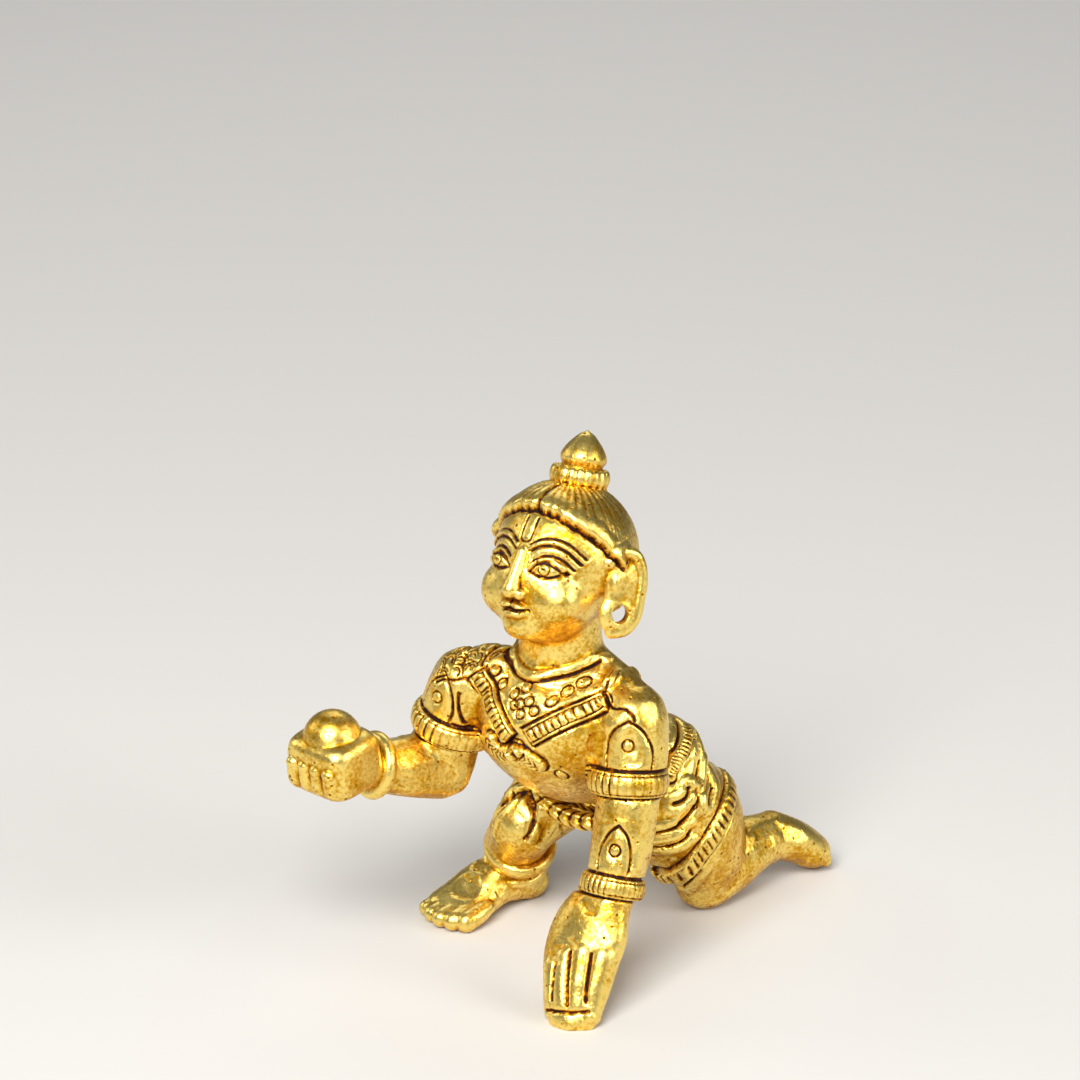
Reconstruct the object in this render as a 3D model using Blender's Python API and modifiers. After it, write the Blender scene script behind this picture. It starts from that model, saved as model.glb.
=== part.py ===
"""Crawling child with a butter ball, cast in one piece in solid brass.

The figure rests on its left fingertips, its right sole and its left knee.
The body is laid down as closed forms, fused and softened, dressed with bands and rings,
fused again, carved along the surface and cut flat where it meets the ground.
"""

import math

import bmesh
import bpy
import numpy as np
from mathutils import Euler, Matrix, Vector

# Driving dimensions, in metres.
FIGURE_HEIGHT = 0.066
BALL_DIAMETER = 0.0072
EAR_HOLE_DIAMETER = 0.0023
EAR_LOBE_RIM = 0.0011
TOPKNOT_BEAD_DIAMETER = 0.0012
ARMLET_WIDTH = 0.0034
BRACELET_WIDTH = 0.0028
ANKLET_WIDTH = 0.0020
SASH_WIDTH = 0.0022
HEM_WIDTH = 0.0022
CARVING_DEPTH = 0.0006

# The pose, the proportions and the carving are written in grid units: the figure is 66 tall.
GRID_HEIGHT = 66.0
GRID = FIGURE_HEIGHT / GRID_HEIGHT

# Mesh fineness, in grid units, and the number of triangles that the solid keeps.
BODY_VOXEL = 0.55
DRESSED_VOXEL = 0.30
BODY_PASSES = 9
DRESSED_PASSES = 2
TRIANGLES = 9400

# Landmarks of the pose in grid units. +X is the figure's left side, and it faces -Y.
HEAD = Vector((0.0, 16.8, 51.3))
HEAD_TURN = Euler((math.radians(-18), 0, 0)).to_matrix() @ Euler((0, 0, math.radians(-8))).to_matrix()
NECK = Vector((0.0, 17.6, 38.5))
CHEST = Vector((-0.4, 15.8, 31.2))
CHEST_TURN = Euler((math.radians(-12), 0, math.radians(-6))).to_matrix()
PELVIS = Vector((0.5, 30.5, 19.5))

LEFT_SHOULDER = Vector((10.3, 16.4, 33.8))
LEFT_ELBOW = Vector((11.4, 13.6, 23.5))
LEFT_WRIST = Vector((11.5, 9.8, 14.3))
LEFT_FINGERTIP = Vector((10.9, 1.4, 0.4))

RIGHT_SHOULDER = Vector((-10.8, 13.4, 35.0))
RIGHT_ELBOW = Vector((-13.9, 12.6, 23.4))
RIGHT_WRIST = Vector((-18.2, 3.2, 26.4))
FIST = Vector((-20.4, -2.0, 28.0))
FIST_TURN = Euler((math.radians(8), 0, math.radians(-12))).to_matrix()

WAIST = Vector((0.3, 24.6, 22.4))
WAIST_AXIS = Vector((0.0, 0.91, -0.415))

LEFT_HIP = Vector((5.6, 30.4, 17.2))
LEFT_KNEE = Vector((9.8, 37.4, 3.7))
LEFT_ANKLE = Vector((13.6, 47.6, 6.2))
LEFT_TOES = Vector((17.2, 53.0, 2.6))

RIGHT_HIP = Vector((-4.8, 29.0, 18.0))
RIGHT_KNEE = Vector((-7.8, 22.4, 13.2))
RIGHT_ANKLE = Vector((-11.7, 26.7, 5.0))
RIGHT_HEEL = Vector((-11.2, 28.6, 2.2))
RIGHT_TOES = Vector((-16.0, 17.1, 1.3))

X_AXIS = Vector((1, 0, 0))


def grid(metres):
    """A driving dimension in grid units."""
    return metres / GRID


def turned(x=0.0, y=0.0, z=0.0):
    """Rotation by degrees about X, then Y, then Z."""
    return Euler((math.radians(x), math.radians(y), math.radians(z))).to_matrix()


def in_head(x, y, z):
    """A point given from the head's centre, along the head's own axes."""
    return HEAD + HEAD_TURN @ Vector((x, y, z))


def limb_turn(low, high):
    """Axes of a limb: Z up along it, X to the figure's left, -Y to the front."""
    up = (high - low).normalized()
    side = (X_AXIS - up * up.dot(X_AXIS)).normalized()
    return Matrix((side, up.cross(side), up)).transposed()


def in_fist(x, y, z):
    """A point given from the fist's centre, along the fist's own axes."""
    return FIST + FIST_TURN @ Vector((x, y, z))


def unit_ball():
    """A ball of radius 1, made once and dropped in again for every ellipsoid."""
    if "Unit ball" not in bpy.data.meshes:
        ball = bmesh.new()
        bmesh.ops.create_uvsphere(ball, u_segments=28, v_segments=16, radius=1.0)
        mesh = bpy.data.meshes.new("Unit ball")
        ball.to_mesh(mesh)
        ball.free()
    return bpy.data.meshes["Unit ball"]


def add_ball(clay, centre, radii, turn=Matrix.Identity(3), squareness=2.0):
    """An ellipsoid, or a rounded block where squareness is over 2, with its axes turned."""
    before = len(clay.verts)
    clay.from_mesh(unit_ball())
    clay.verts.ensure_lookup_table()
    place = Matrix.Translation(centre) @ turn.to_4x4() @ Matrix.Diagonal((*radii, 1.0))
    for vertex in clay.verts[before:]:
        size = sum(abs(c) ** squareness for c in vertex.co) ** (1 / squareness)
        vertex.co = place @ (vertex.co / size)


def add_skin(clay, rows, closed=False):
    """Quads between rows of points, with capped ends, or closed into a ring of rows."""
    loops = [[clay.verts.new(point) for point in row] for row in rows]
    pairs = list(zip(loops, loops[1:]))
    if closed:
        pairs.append((loops[-1], loops[0]))
    else:
        clay.faces.new(reversed(loops[0]))
        clay.faces.new(loops[-1])
    for low, high in pairs:
        for i in range(len(low)):
            j = (i + 1) % len(low)
            clay.faces.new((low[i], low[j], high[j], high[i]))


def blend(a, b, c, d, t):
    """Catmull-Rom interpolation between b and c."""
    return 0.5 * (2 * b + (c - a) * t + (2 * a - 5 * b + 4 * c - d) * t * t + (3 * b - a - 3 * c + d) * t ** 3)


def add_limb(clay, knots, across=X_AXIS, steps=6, sides=24):
    """A rounded limb through knots of (centre, radius across, radius front to back)."""
    centres = [Vector(k[0]) for k in knots]
    radii = [Vector((k[1], k[2])) for k in knots]
    stations = []
    for i in range(len(knots) - 1):
        before = max(i - 1, 0)
        after = min(i + 2, len(knots) - 1)
        for s in range(steps):
            t = s / steps
            stations.append((
                blend(centres[before], centres[i], centres[i + 1], centres[after], t),
                blend(radii[before], radii[i], radii[i + 1], radii[after], t),
            ))
    stations.append((centres[-1], radii[-1]))
    rows = []
    last = len(stations) - 1
    for i, (centre, radius) in enumerate(stations):
        along = (stations[min(i + 1, last)][0] - stations[max(i - 1, 0)][0]).normalized()
        side = (across - along * across.dot(along)).normalized()
        front = along.cross(side)
        rounding = [(0.0, 1.0)]
        if i == 0:
            rounding = [(-math.cos(a), math.sin(a)) for a in (0.25, 0.6, 1.1, math.pi / 2)]
        elif i == last:
            rounding = [(math.cos(a), math.sin(a)) for a in (math.pi / 2, 1.1, 0.6, 0.25)]
        reach = min(radius)
        for shift, scale in rounding:
            rows.append([
                centre + along * shift * reach
                + side * radius.x * scale * math.cos(math.tau * k / sides)
                + front * radius.y * scale * math.sin(math.tau * k / sides)
                for k in range(sides)
            ])
    add_skin(clay, rows)


def add_hoop(clay, centre, axis, across, radii, thickness, width, steps=40, sides=10):
    """A band round a limb: radii of its centre line, its thickness and its width along the axis."""
    axis = axis.normalized()
    side = (across - axis * across.dot(axis)).normalized()
    front = axis.cross(side)
    rows = []
    for i in range(steps):
        turn = math.tau * i / steps
        out = side * radii[0] * math.cos(turn) + front * radii[1] * math.sin(turn)
        outward = out.normalized()
        rows.append([
            centre + out
            + outward * thickness / 2 * math.cos(math.tau * k / sides)
            + axis * width / 2 * math.sin(math.tau * k / sides)
            for k in range(sides)
        ])
    add_skin(clay, rows, closed=True)


def add_torso(clay):
    """The barrel of the body, from the neck over the chest and belly to the seat."""
    add_limb(clay, (
        (NECK, 6.2, 5.0),
        ((-0.2, 16.4, 34.6), 9.6, 6.6),
        (CHEST, 9.7, 7.7),
        ((0.0, 20.4, 26.6), 8.6, 7.2),
        ((0.4, 25.6, 23.2), 8.3, 6.3),
        (PELVIS, 9.6, 8.2),
        ((0.5, 34.0, 18.0), 8.2, 6.4),
    ))
    add_ball(clay, CHEST + Vector((0, -1.0, 1.2)), (9.2, 7.4, 6.6), CHEST_TURN)
    add_ball(clay, (-7.4, 14.6, 36.2), (4.6, 4.6, 4.0))
    add_ball(clay, (6.6, 16.6, 34.6), (5.0, 4.6, 4.0))
    add_ball(clay, (0.6, 32.4, 20.2), (8.8, 6.9, 7.2))
    add_ball(clay, (5.0, 32.4, 19.8), (6.4, 6.8, 7.2))
    add_ball(clay, (-4.0, 31.8, 19.2), (6.2, 6.8, 7.0))
    add_limb(clay, ((NECK, 5.2, 5.1), (HEAD - Vector((0, -0.8, 7.0)), 4.8, 5.0)))
    add_limb(clay, (((2.0, 18.6, 38.6), 3.4, 3.2), ((8.0, 17.4, 35.6), 3.7, 3.5)))


def add_head(clay):
    """The skull and the soft shapes of the face, calm and even."""
    add_ball(clay, in_head(0, 0.9, 1.2), (8.2, 8.4, 8.4), HEAD_TURN)
    add_ball(clay, in_head(0, -1.7, -2.4), (6.9, 6.4, 7.0), HEAD_TURN)
    add_ball(clay, in_head(0, -5.2, -7.0), (2.7, 2.2, 2.2), HEAD_TURN)
    for side in (-1, 1):
        add_ball(clay, in_head(side * 3.3, -4.2, -3.6), (3.7, 3.2, 3.5), HEAD_TURN)


def add_left_arm(clay):
    """The straight arm that props up the body, and its flat hand."""
    add_limb(clay, (
        (LEFT_SHOULDER, 4.5, 4.6),
        ((11.2, 15.4, 29.6), 4.2, 4.2),
        (LEFT_ELBOW, 3.85, 3.8),
        ((11.6, 12.2, 19.6), 3.85, 3.7),
        (LEFT_WRIST, 3.3, 3.0),
    ))
    add_limb(clay, (
        ((11.2, 9.6, 14.0), 3.1, 2.6),
        ((10.3, 7.6, 10.6), 4.9, 2.6),
        ((9.9, 5.2, 6.8), 5.0, 2.4),
        ((10.4, 3.0, 3.2), 3.9, 2.3),
        (LEFT_FINGERTIP, 3.1, 2.0),
    ))


def add_right_arm(clay):
    """The bent arm, from the shoulder to the wrist."""
    add_limb(clay, (
        (RIGHT_SHOULDER, 4.5, 4.6),
        ((-12.8, 12.8, 29.0), 4.3, 4.3),
        (RIGHT_ELBOW, 4.0, 4.0),
    ))
    add_limb(clay, (
        (RIGHT_ELBOW, 4.0, 4.0),
        ((-16.2, 7.6, 25.0), 3.8, 3.8),
        (RIGHT_WRIST, 3.1, 3.2),
    ), across=Vector((0, 0, 1)))


def add_legs(clay):
    """The kneeling left leg behind and the right leg set down flat under the body."""
    add_limb(clay, (
        (LEFT_HIP, 6.4, 7.2),
        ((8.4, 35.0, 12.4), 6.6, 7.6),
        ((9.6, 36.8, 7.4), 5.4, 6.2),
        (LEFT_KNEE, 4.1, 4.4),
    ))
    add_limb(clay, (
        (LEFT_KNEE, 4.1, 4.1),
        ((11.4, 42.0, 5.4), 4.3, 4.4),
        (LEFT_ANKLE, 3.2, 3.3),
    ))
    add_limb(clay, (
        (LEFT_ANKLE, 3.0, 3.4),
        ((15.6, 50.4, 4.8), 3.1, 2.9),
        (LEFT_TOES, 2.9, 2.4),
    ))
    add_limb(clay, (
        (RIGHT_HIP, 6.0, 6.2),
        (RIGHT_KNEE, 4.1, 4.2),
    ))
    add_limb(clay, (
        (RIGHT_KNEE, 4.2, 4.2),
        ((-10.4, 24.5, 9.0), 3.9, 3.9),
        (RIGHT_ANKLE, 3.7, 3.8),
    ))
    add_limb(clay, (
        (RIGHT_HEEL, 3.3, 2.8),
        ((-13.3, 23.8, 3.3), 3.6, 3.1),
        ((-14.8, 19.9, 2.0), 4.1, 2.3),
        (RIGHT_TOES, 4.2, 1.6),
    ))


def add_palm(clay):
    """The squared palm of the right hand, turned up."""
    add_ball(clay, in_fist(0.0, 0.7, 0.4), (4.9, 4.3, 3.8), FIST_TURN, squareness=4.6)


def make_body():
    """All the bare forms in one mesh, before they are fused."""
    clay = bmesh.new()
    add_torso(clay)
    add_head(clay)
    add_left_arm(clay)
    add_right_arm(clay)
    add_legs(clay)
    add_palm(clay)
    return clay


def add_topknot(clay):
    """The ribbed ring and the bud of hair on the crown."""
    add_limb(clay, ((in_head(0, 1.4, 8.0), 2.6, 2.6), (in_head(0, 1.7, 12.2), 2.3, 2.3)))
    ring = 3.05
    bead = grid(TOPKNOT_BEAD_DIAMETER) / 2
    count = round(math.tau * ring / (1.6 * bead))
    for i in range(count):
        turn = math.tau * i / count
        spot = in_head(ring * math.cos(turn), 1.6 + ring * math.sin(turn), 10.7)
        add_ball(clay, spot, (bead, bead, 1.15), HEAD_TURN)
    add_ball(clay, in_head(0, 1.6, 10.7), (ring + 0.1, ring + 0.1, 1.0), HEAD_TURN)
    add_limb(clay, (
        (in_head(0, 1.8, 12.1), 2.5, 2.5),
        (in_head(0, 1.8, 12.8), 2.85, 2.85),
        (in_head(0, 1.8, 13.6), 2.6, 2.6),
        (in_head(0, 1.8, 14.4), 2.1, 2.1),
        (in_head(0, 1.8, 15.1), 1.5, 1.5),
        (in_head(0, 1.8, 15.7), 0.9, 0.9),
        (in_head(0, 1.8, 16.05), 0.2, 0.2),
    ))


def in_ear(side, along, z):
    """A point in the plate of an ear: along it from front to back, and up from the head's middle."""
    return in_head(side * (9.0 + 0.53 * along), 0.9 + 0.85 * along, z)


def ear_lobe(side):
    """The middle of the hole through an ear lobe."""
    return in_ear(side, 0.1, -4.2)


def ear_turn(side):
    """The axes of an ear: its flat side looks outward and a little ahead."""
    return HEAD_TURN @ turned(z=side * -32)


def add_ears(clay):
    """Broad ears with a rolled rim that runs down round the pierced lobe."""
    lobe = grid(EAR_HOLE_DIAMETER / 2 + EAR_LOBE_RIM)
    for side in (-1, 1):
        rim = (
            (-2.0, 1.6), (-0.6, 2.9), (1.2, 2.7), (2.3, 0.6), (2.4, -2.0),
            (lobe, -4.4), (1.2, -6.0), (-0.5, -6.5),
        )
        add_limb(clay, [
            (in_ear(side, along, z), 0.8, 0.75) for along, z in rim
        ], across=Vector((0, 0, 1)), steps=6, sides=16)
        add_ball(clay, in_ear(side, 0.1, -1.4), (0.75, 2.2, 4.2), ear_turn(side))
        add_ball(clay, in_ear(side, -1.0, -0.6), (0.95, 0.8, 1.5), ear_turn(side))
        add_ball(clay, in_ear(side, 0.0, -4.3), (0.95, lobe + 0.15, lobe + 0.3), ear_turn(side))


def add_fingers(clay):
    """Four fingers of the right hand, closed in front of the ball, each ending in a round nail."""
    for i in range(4):
        x = -2.95 + 1.98 * i
        add_limb(clay, (
            (in_fist(x * 0.85, -0.6, -2.5), 0.85, 0.85),
            (in_fist(x, -2.9, -1.7), 0.95, 0.85),
            (in_fist(x, -3.15, 0.2), 0.98, 0.85),
            (in_fist(x, -3.0, 0.8), 0.9, 0.8),
        ), steps=5, sides=16)
        add_ball(clay, in_fist(x, -3.4, 1.1), (0.85, 0.7, 0.75), FIST_TURN)


def add_toes(clay, tips, back, size):
    """Toes side by side, each a low ridge that ends in a round tip, the big one first."""
    for i, tip in enumerate(tips):
        radius = size - 0.09 * i
        end = Vector(tip) + back * radius
        add_limb(clay, (
            (end + back * 3.4 + Vector((0, 0, 0.9)), radius * 0.7, radius * 0.7),
            (end + back * 2.0 + Vector((0, 0, 0.45)), radius * 0.9, radius * 0.9),
            (end, radius, radius),
        ), steps=4, sides=16)


def add_feet_ends(clay):
    """The toes of the right foot, and the rounded row of toes at the end of the left one."""
    back = Vector((0.35, 0.94, 0.0))
    tips = (
        (-12.9, 14.3, 1.3), (-14.5, 13.9, 1.25), (-16.2, 14.0, 1.2), (-17.8, 14.7, 1.15), (-19.3, 15.9, 1.1),
    )
    add_toes(clay, tips, back, 1.4)
    ahead = (LEFT_TOES - LEFT_ANKLE).normalized()
    across = Vector((0, 0, 1)).cross(ahead).normalized()
    for degrees in (50, 25, 0, -25, -50):
        spread = math.radians(degrees)
        spot = LEFT_TOES + ahead * 2.0 * math.cos(spread) + across * 2.2 * math.sin(spread)
        add_ball(clay, spot, (0.75, 0.75, 1.3), turned(x=18))


def add_bands(clay):
    """The collar, the armlets, the bracelets, the anklets and the cord round the waist."""
    add_hoop(clay, NECK + Vector((-0.3, -0.7, 0.6)), Vector((0.0, -0.25, 1.0)), X_AXIS, (5.5, 5.5), 1.4, 1.5)
    armlet = grid(ARMLET_WIDTH)
    left_arm = LEFT_SHOULDER - LEFT_ELBOW
    add_hoop(clay, LEFT_ELBOW + left_arm * 0.30, left_arm, X_AXIS, (4.05, 4.1), 1.5, armlet)
    left_fore = LEFT_ELBOW - LEFT_WRIST
    bracelet = grid(BRACELET_WIDTH)
    add_hoop(clay, LEFT_WRIST + left_fore * 0.05, left_fore, X_AXIS, (3.3, 3.1), 1.2, bracelet)
    right_arm = RIGHT_SHOULDER - RIGHT_ELBOW
    add_hoop(clay, RIGHT_ELBOW + right_arm * 0.54, right_arm, X_AXIS, (4.4, 4.4), 1.9, armlet)
    right_fore = RIGHT_ELBOW - RIGHT_WRIST
    add_hoop(clay, RIGHT_WRIST + right_fore * 0.05, right_fore, X_AXIS, (3.4, 3.5), 1.4, 1.6)
    shin = RIGHT_KNEE - RIGHT_ANKLE
    anklet = grid(ANKLET_WIDTH)
    add_hoop(clay, RIGHT_ANKLE + shin * 0.46, shin, X_AXIS, (4.0, 4.1), 1.3, anklet)
    add_hoop(clay, RIGHT_ANKLE + shin * 0.14, shin, X_AXIS, (3.8, 4.0), 0.9, anklet * 0.6)
    add_hoop(clay, WAIST, WAIST_AXIS, X_AXIS, (8.4, 7.2), 1.9, 2.2)


def add_butter_ball(clay):
    """The ball that lies in the hand, cast in one with it."""
    radius = grid(BALL_DIAMETER) / 2
    add_ball(clay, in_fist(0, 0.8, 1.2 + 0.55 * radius), (radius, radius, radius))


def add_features(clay):
    """Eyes, nose and lips."""
    for side in (-1, 1):
        add_ball(clay, in_head(side * 3.5, -6.2, -0.2), (2.2, 1.5, 1.1), HEAD_TURN @ turned(z=side * 22))
        add_ball(clay, in_head(side * 1.1, -8.1, -3.5), (0.85, 0.9, 0.75), HEAD_TURN)
    add_limb(clay, (
        (in_head(0, -7.4, 1.2), 0.7, 0.7),
        (in_head(0, -8.1, -1.4), 0.8, 0.9),
        (in_head(0, -8.7, -3.2), 1.1, 1.1),
    ), across=HEAD_TURN @ X_AXIS, steps=4, sides=12)
    add_ball(clay, in_head(0, -7.6, -5.0), (2.0, 1.1, 0.65), HEAD_TURN)
    add_ball(clay, in_head(0, -7.4, -5.9), (1.6, 1.1, 0.65), HEAD_TURN)


def dress(body):
    """The fused body with its bands, rings and ears, not yet fused to it."""
    clay = bmesh.new()
    add_topknot(clay)
    add_ears(clay)
    add_features(clay)
    add_fingers(clay)
    add_feet_ends(clay)
    add_bands(clay)
    add_butter_ball(clay)
    clay.from_mesh(body)
    return clay


def fused(name, clay, voxel, passes):
    """The mesh of closed forms fused into one skin and softened."""
    for vertex in clay.verts:
        vertex.co *= GRID
    source = bpy.data.meshes.new(name)
    clay.to_mesh(source)
    clay.free()
    carrier = bpy.data.objects.new(name, source)
    bpy.context.scene.collection.objects.link(carrier)
    remesh = carrier.modifiers.new("Fuse", "REMESH")
    remesh.mode = "VOXEL"
    remesh.voxel_size = voxel * GRID
    if passes:
        smooth = carrier.modifiers.new("Soften", "SMOOTH")
        smooth.factor = 0.5
        smooth.iterations = round(passes)
    evaluated = carrier.evaluated_get(bpy.context.evaluated_depsgraph_get())
    result = bpy.data.meshes.new_from_object(evaluated)
    bpy.data.objects.remove(carrier)
    bpy.data.meshes.remove(source)
    result.transform(Matrix.Scale(1 / GRID, 4))
    return result


def ramp(value, low, high):
    """0 below low, 1 above high, and an even rise between."""
    t = np.clip((value - low) / (high - low), 0, 1)
    return t * t * (3 - 2 * t)


def dent(distance, width):
    """1 in the middle of a stroke and 0 from half its width on."""
    return np.clip(1 - (2 * distance / width) ** 2, 0, 1)


def along_path(u, v, path):
    """How far each point is from a path of (u, v) corners, and how far along it."""
    best = np.full(len(u), np.inf)
    travel = np.zeros(len(u))
    walked = 0.0
    for (u0, v0), (u1, v1) in zip(path, path[1:]):
        length = math.hypot(u1 - u0, v1 - v0)
        t = np.clip(((u - u0) * (u1 - u0) + (v - v0) * (v1 - v0)) / length ** 2, 0, 1)
        away = np.hypot(u - u0 - t * (u1 - u0), v - v0 - t * (v1 - v0))
        nearer = away < best
        best = np.where(nearer, away, best)
        travel = np.where(nearer, walked + t * length, travel)
        walked += length
    return best, travel


class Relief:
    """Heights over a skin, gathered in grid units and then pressed in along its normals."""

    def __init__(self, skin):
        count = len(skin.vertices)
        self.points = np.empty((count, 3), np.float32)
        skin.vertices.foreach_get("co", self.points.ravel())
        self.normals = np.empty((count, 3), np.float32)
        skin.vertex_normals.foreach_get("vector", self.normals.ravel())
        self.height = np.zeros(count)

    def seen_from(self, origin, turn):
        """The points measured from an origin along a frame's axes."""
        local = (self.points - np.array(origin)) @ np.array(turn)
        return local[:, 0], local[:, 1], local[:, 2]

    def press(self, skin):
        """Moves the skin by the gathered heights."""
        moved = self.points + self.normals * self.height[:, None]
        skin.vertices.foreach_set("co", moved.astype(np.float32).ravel())
        skin.update()


def carve_hair(relief):
    """The cap of hair: its raised edge from the brow to the nape, and the parting."""
    x, y, z = relief.seen_from(HEAD, HEAD_TURN)
    turn = np.degrees(np.arctan2(np.abs(x), -y))
    hairline = np.interp(turn, (0, 25, 55, 75, 95, 115, 180), (6.3, 6.0, 4.6, 3.2, 0.6, -3.6, -6.4))
    over = z - hairline
    on_skull = ramp(-np.sqrt(x ** 2 + (y - 0.9) ** 2 + (z - 1.2) ** 2), -9.6, -9.1) * (z < 9.6)
    groove = grid(CARVING_DEPTH) * dent(np.abs(over), 0.9)
    relief.height += on_skull * (0.75 * ramp(over, 0.0, 0.7) - groove)
    parting = dent(np.abs(x), 0.8) * (over > 0) * (y < 1)
    relief.height -= on_skull * grid(CARVING_DEPTH) * parting


def carve_face(relief):
    """Brows, almond eyes and the line of the lips."""
    x, y, z = relief.seen_from(HEAD, HEAD_TURN)
    face = (y < -3) & (np.abs(x) < 7) & (z < 6)
    depth = grid(CARVING_DEPTH)
    u = np.abs(x)
    upper_lid = ((1.3, -0.4), (2.2, 0.5), (3.4, 0.8), (4.6, 0.5), (5.9, -0.3))
    lower_lid = ((1.3, -0.4), (2.4, -1.0), (3.5, -1.15), (4.7, -0.9), (5.9, -0.3))
    brow = ((0.9, 1.3), (2.1, 2.1), (3.6, 2.4), (5.0, 2.0), (6.2, 1.0))
    for path, width in ((upper_lid, 0.7), (lower_lid, 0.6), (brow, 0.8)):
        away, _ = along_path(u, z, path)
        relief.height -= face * depth * dent(away, width)
    lips, _ = along_path(x, z, ((-1.9, -5.35), (-0.8, -5.55), (0, -5.45), (0.8, -5.55), (1.9, -5.35)))
    relief.height -= face * depth * dent(lips, 0.7)


def carve_sash(relief):
    """Two ribbed garlands that meet on the breast, and the knot with its tails under them."""
    x, y, z = relief.seen_from(CHEST, CHEST_TURN)
    on_breast = (y < 1) & (z > -6) & (np.abs(x) < 9.8)
    width = grid(SASH_WIDTH)
    depth = grid(CARVING_DEPTH)
    right = ((-6.55, 5.3), (-0.1, -0.95))
    left = ((9.0, 5.1), (2.5, -0.2))
    for path in (right, left):
        away, travel = along_path(x, z, path)
        lifted = ramp(-away, -width / 2 - 0.25, -width / 2 + 0.25)
        ribs = 0.5 + 0.5 * np.cos(math.tau * travel / 1.3)
        relief.height += on_breast * lifted * (0.30 - 0.25 * depth * ribs)
        relief.height -= on_breast * depth * dent(np.abs(away - width / 2 - 0.3), 0.7)
    collar = ((-5.9, 9.4), (-5.1, 8.1), (-2.5, 6.4), (0.0, 5.9), (2.2, 6.4), (4.7, 7.6), (6.1, 9.0))
    away, _ = along_path(x, z, collar)
    relief.height -= (y < 2) * 0.7 * depth * dent(away, 0.7)
    tails = (
        ((0.2, -2.6), (-1.3, -3.2), (-2.4, -2.9), (-3.1, -1.9)),
        ((0.9, -2.3), (1.8, -2.6), (2.5, -3.1), (3.1, -3.5)),
    )
    for path in tails:
        away, _ = along_path(x, z, path)
        relief.height += on_breast * 0.5 * ramp(-away, -1.0, -0.4)


def carve_plaques(relief):
    """Pointed leaf plaques on both upper arms and on the left forearm."""
    leaf = ((-1.0, 0.0), (-1.03, 0.25), (-0.86, 0.55), (-0.5, 0.82), (0.0, 1.0))
    plaques = (
        (LEFT_ELBOW, LEFT_SHOULDER, 24, 4.4, 3.2, 5.3, 10.9),
        (LEFT_WRIST, LEFT_ELBOW, 17, 3.7, 2.3, 2.4, 7.9),
        (RIGHT_ELBOW, RIGHT_SHOULDER, -15, 4.4, 2.4, 8.6, 13.8),
    )
    for low, high, facing, radius, half, foot, point in plaques:
        x, y, z = relief.seen_from(low, limb_turn(low, high))
        turn = np.arctan2(x, -y) - math.radians(facing)
        near = (np.hypot(x, y) < 6.5) & (z > foot - 1) & (z < point + 1) & (np.abs(turn) < 1.5)
        outline = [(a * half, foot + b * (point - foot)) for a, b in leaf]
        away, _ = along_path(-np.abs(turn) * radius, z, outline)
        relief.height -= near * grid(CARVING_DEPTH) * dent(away, 0.8)


def carve_hand(relief):
    """Four low fingers on the back of the left hand, and the step at their tips."""
    x, y, z = relief.seen_from(LEFT_FINGERTIP, limb_turn(LEFT_FINGERTIP, LEFT_WRIST))
    back = (y < 0.4) & (np.abs(x) < 6) & (z < 12.5) & (z > -3)
    fingers = (
        ((-4.2, 5.6), (-3.2, 0.6)),
        ((-2.6, 7.0), (-1.3, 1.5)),
        ((-0.4, 8.0), (0.8, 2.0)),
        ((2.3, 8.2), (2.9, 1.6)),
    )
    for path in fingers:
        away, _ = along_path(x, z, path)
        relief.height += back * 0.45 * dent(away, 2.5)
    grooves = (
        ((-3.2, 6.0), (-2.4, 1.7)),
        ((-1.7, 7.7), (-1.2, 5.4), (-0.2, 1.6)),
        ((0.9, 8.2), (1.7, 2.7)),
    )
    for path in grooves:
        away, _ = along_path(x, z, path)
        relief.height -= back * grid(CARVING_DEPTH) * dent(away, 0.8)
    tips = ((-2.9, 0.4), (-1.9, 0.5), (0.4, 0.9), (2.3, 1.7))
    step, _ = along_path(x, z, tips)
    relief.height -= back * grid(CARVING_DEPTH) * dent(step, 0.8)
    low = np.interp(x, *zip(*tips)) - z
    relief.height += back * 0.15 * ramp(low, 0.2, 0.5) * ramp(-low, -2.4, -1.6)


def carve_hem(relief):
    """The ribbed hem of the cloth on the left thigh."""
    depth = grid(CARVING_DEPTH)
    half = grid(HEM_WIDTH) / 2
    x, y, z = relief.seen_from(LEFT_KNEE, limb_turn(LEFT_KNEE, LEFT_HIP))
    below_waist = (relief.points - np.array(WAIST)) @ np.array(WAIST_AXIS) > 0.5
    own = below_waist & (relief.points[:, 0] > 0.5) & (np.hypot(x, y) < 10.5) & (z > 0) & (z < 20)
    over = (z - 6.9 - 0.39 * x - 0.16 * y) / math.hypot(1, 0.39, 0.16)
    band = ramp(-np.abs(over), -half - 0.3, -half + 0.1)
    relief.height += own * band * (0.35 + 0.12 * np.cos(26 * np.arctan2(x, -y)))
    for edge in (-1, 1):
        relief.height -= own * 0.7 * depth * dent(np.abs(over - edge * (half + 0.3)), 0.7)


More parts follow.
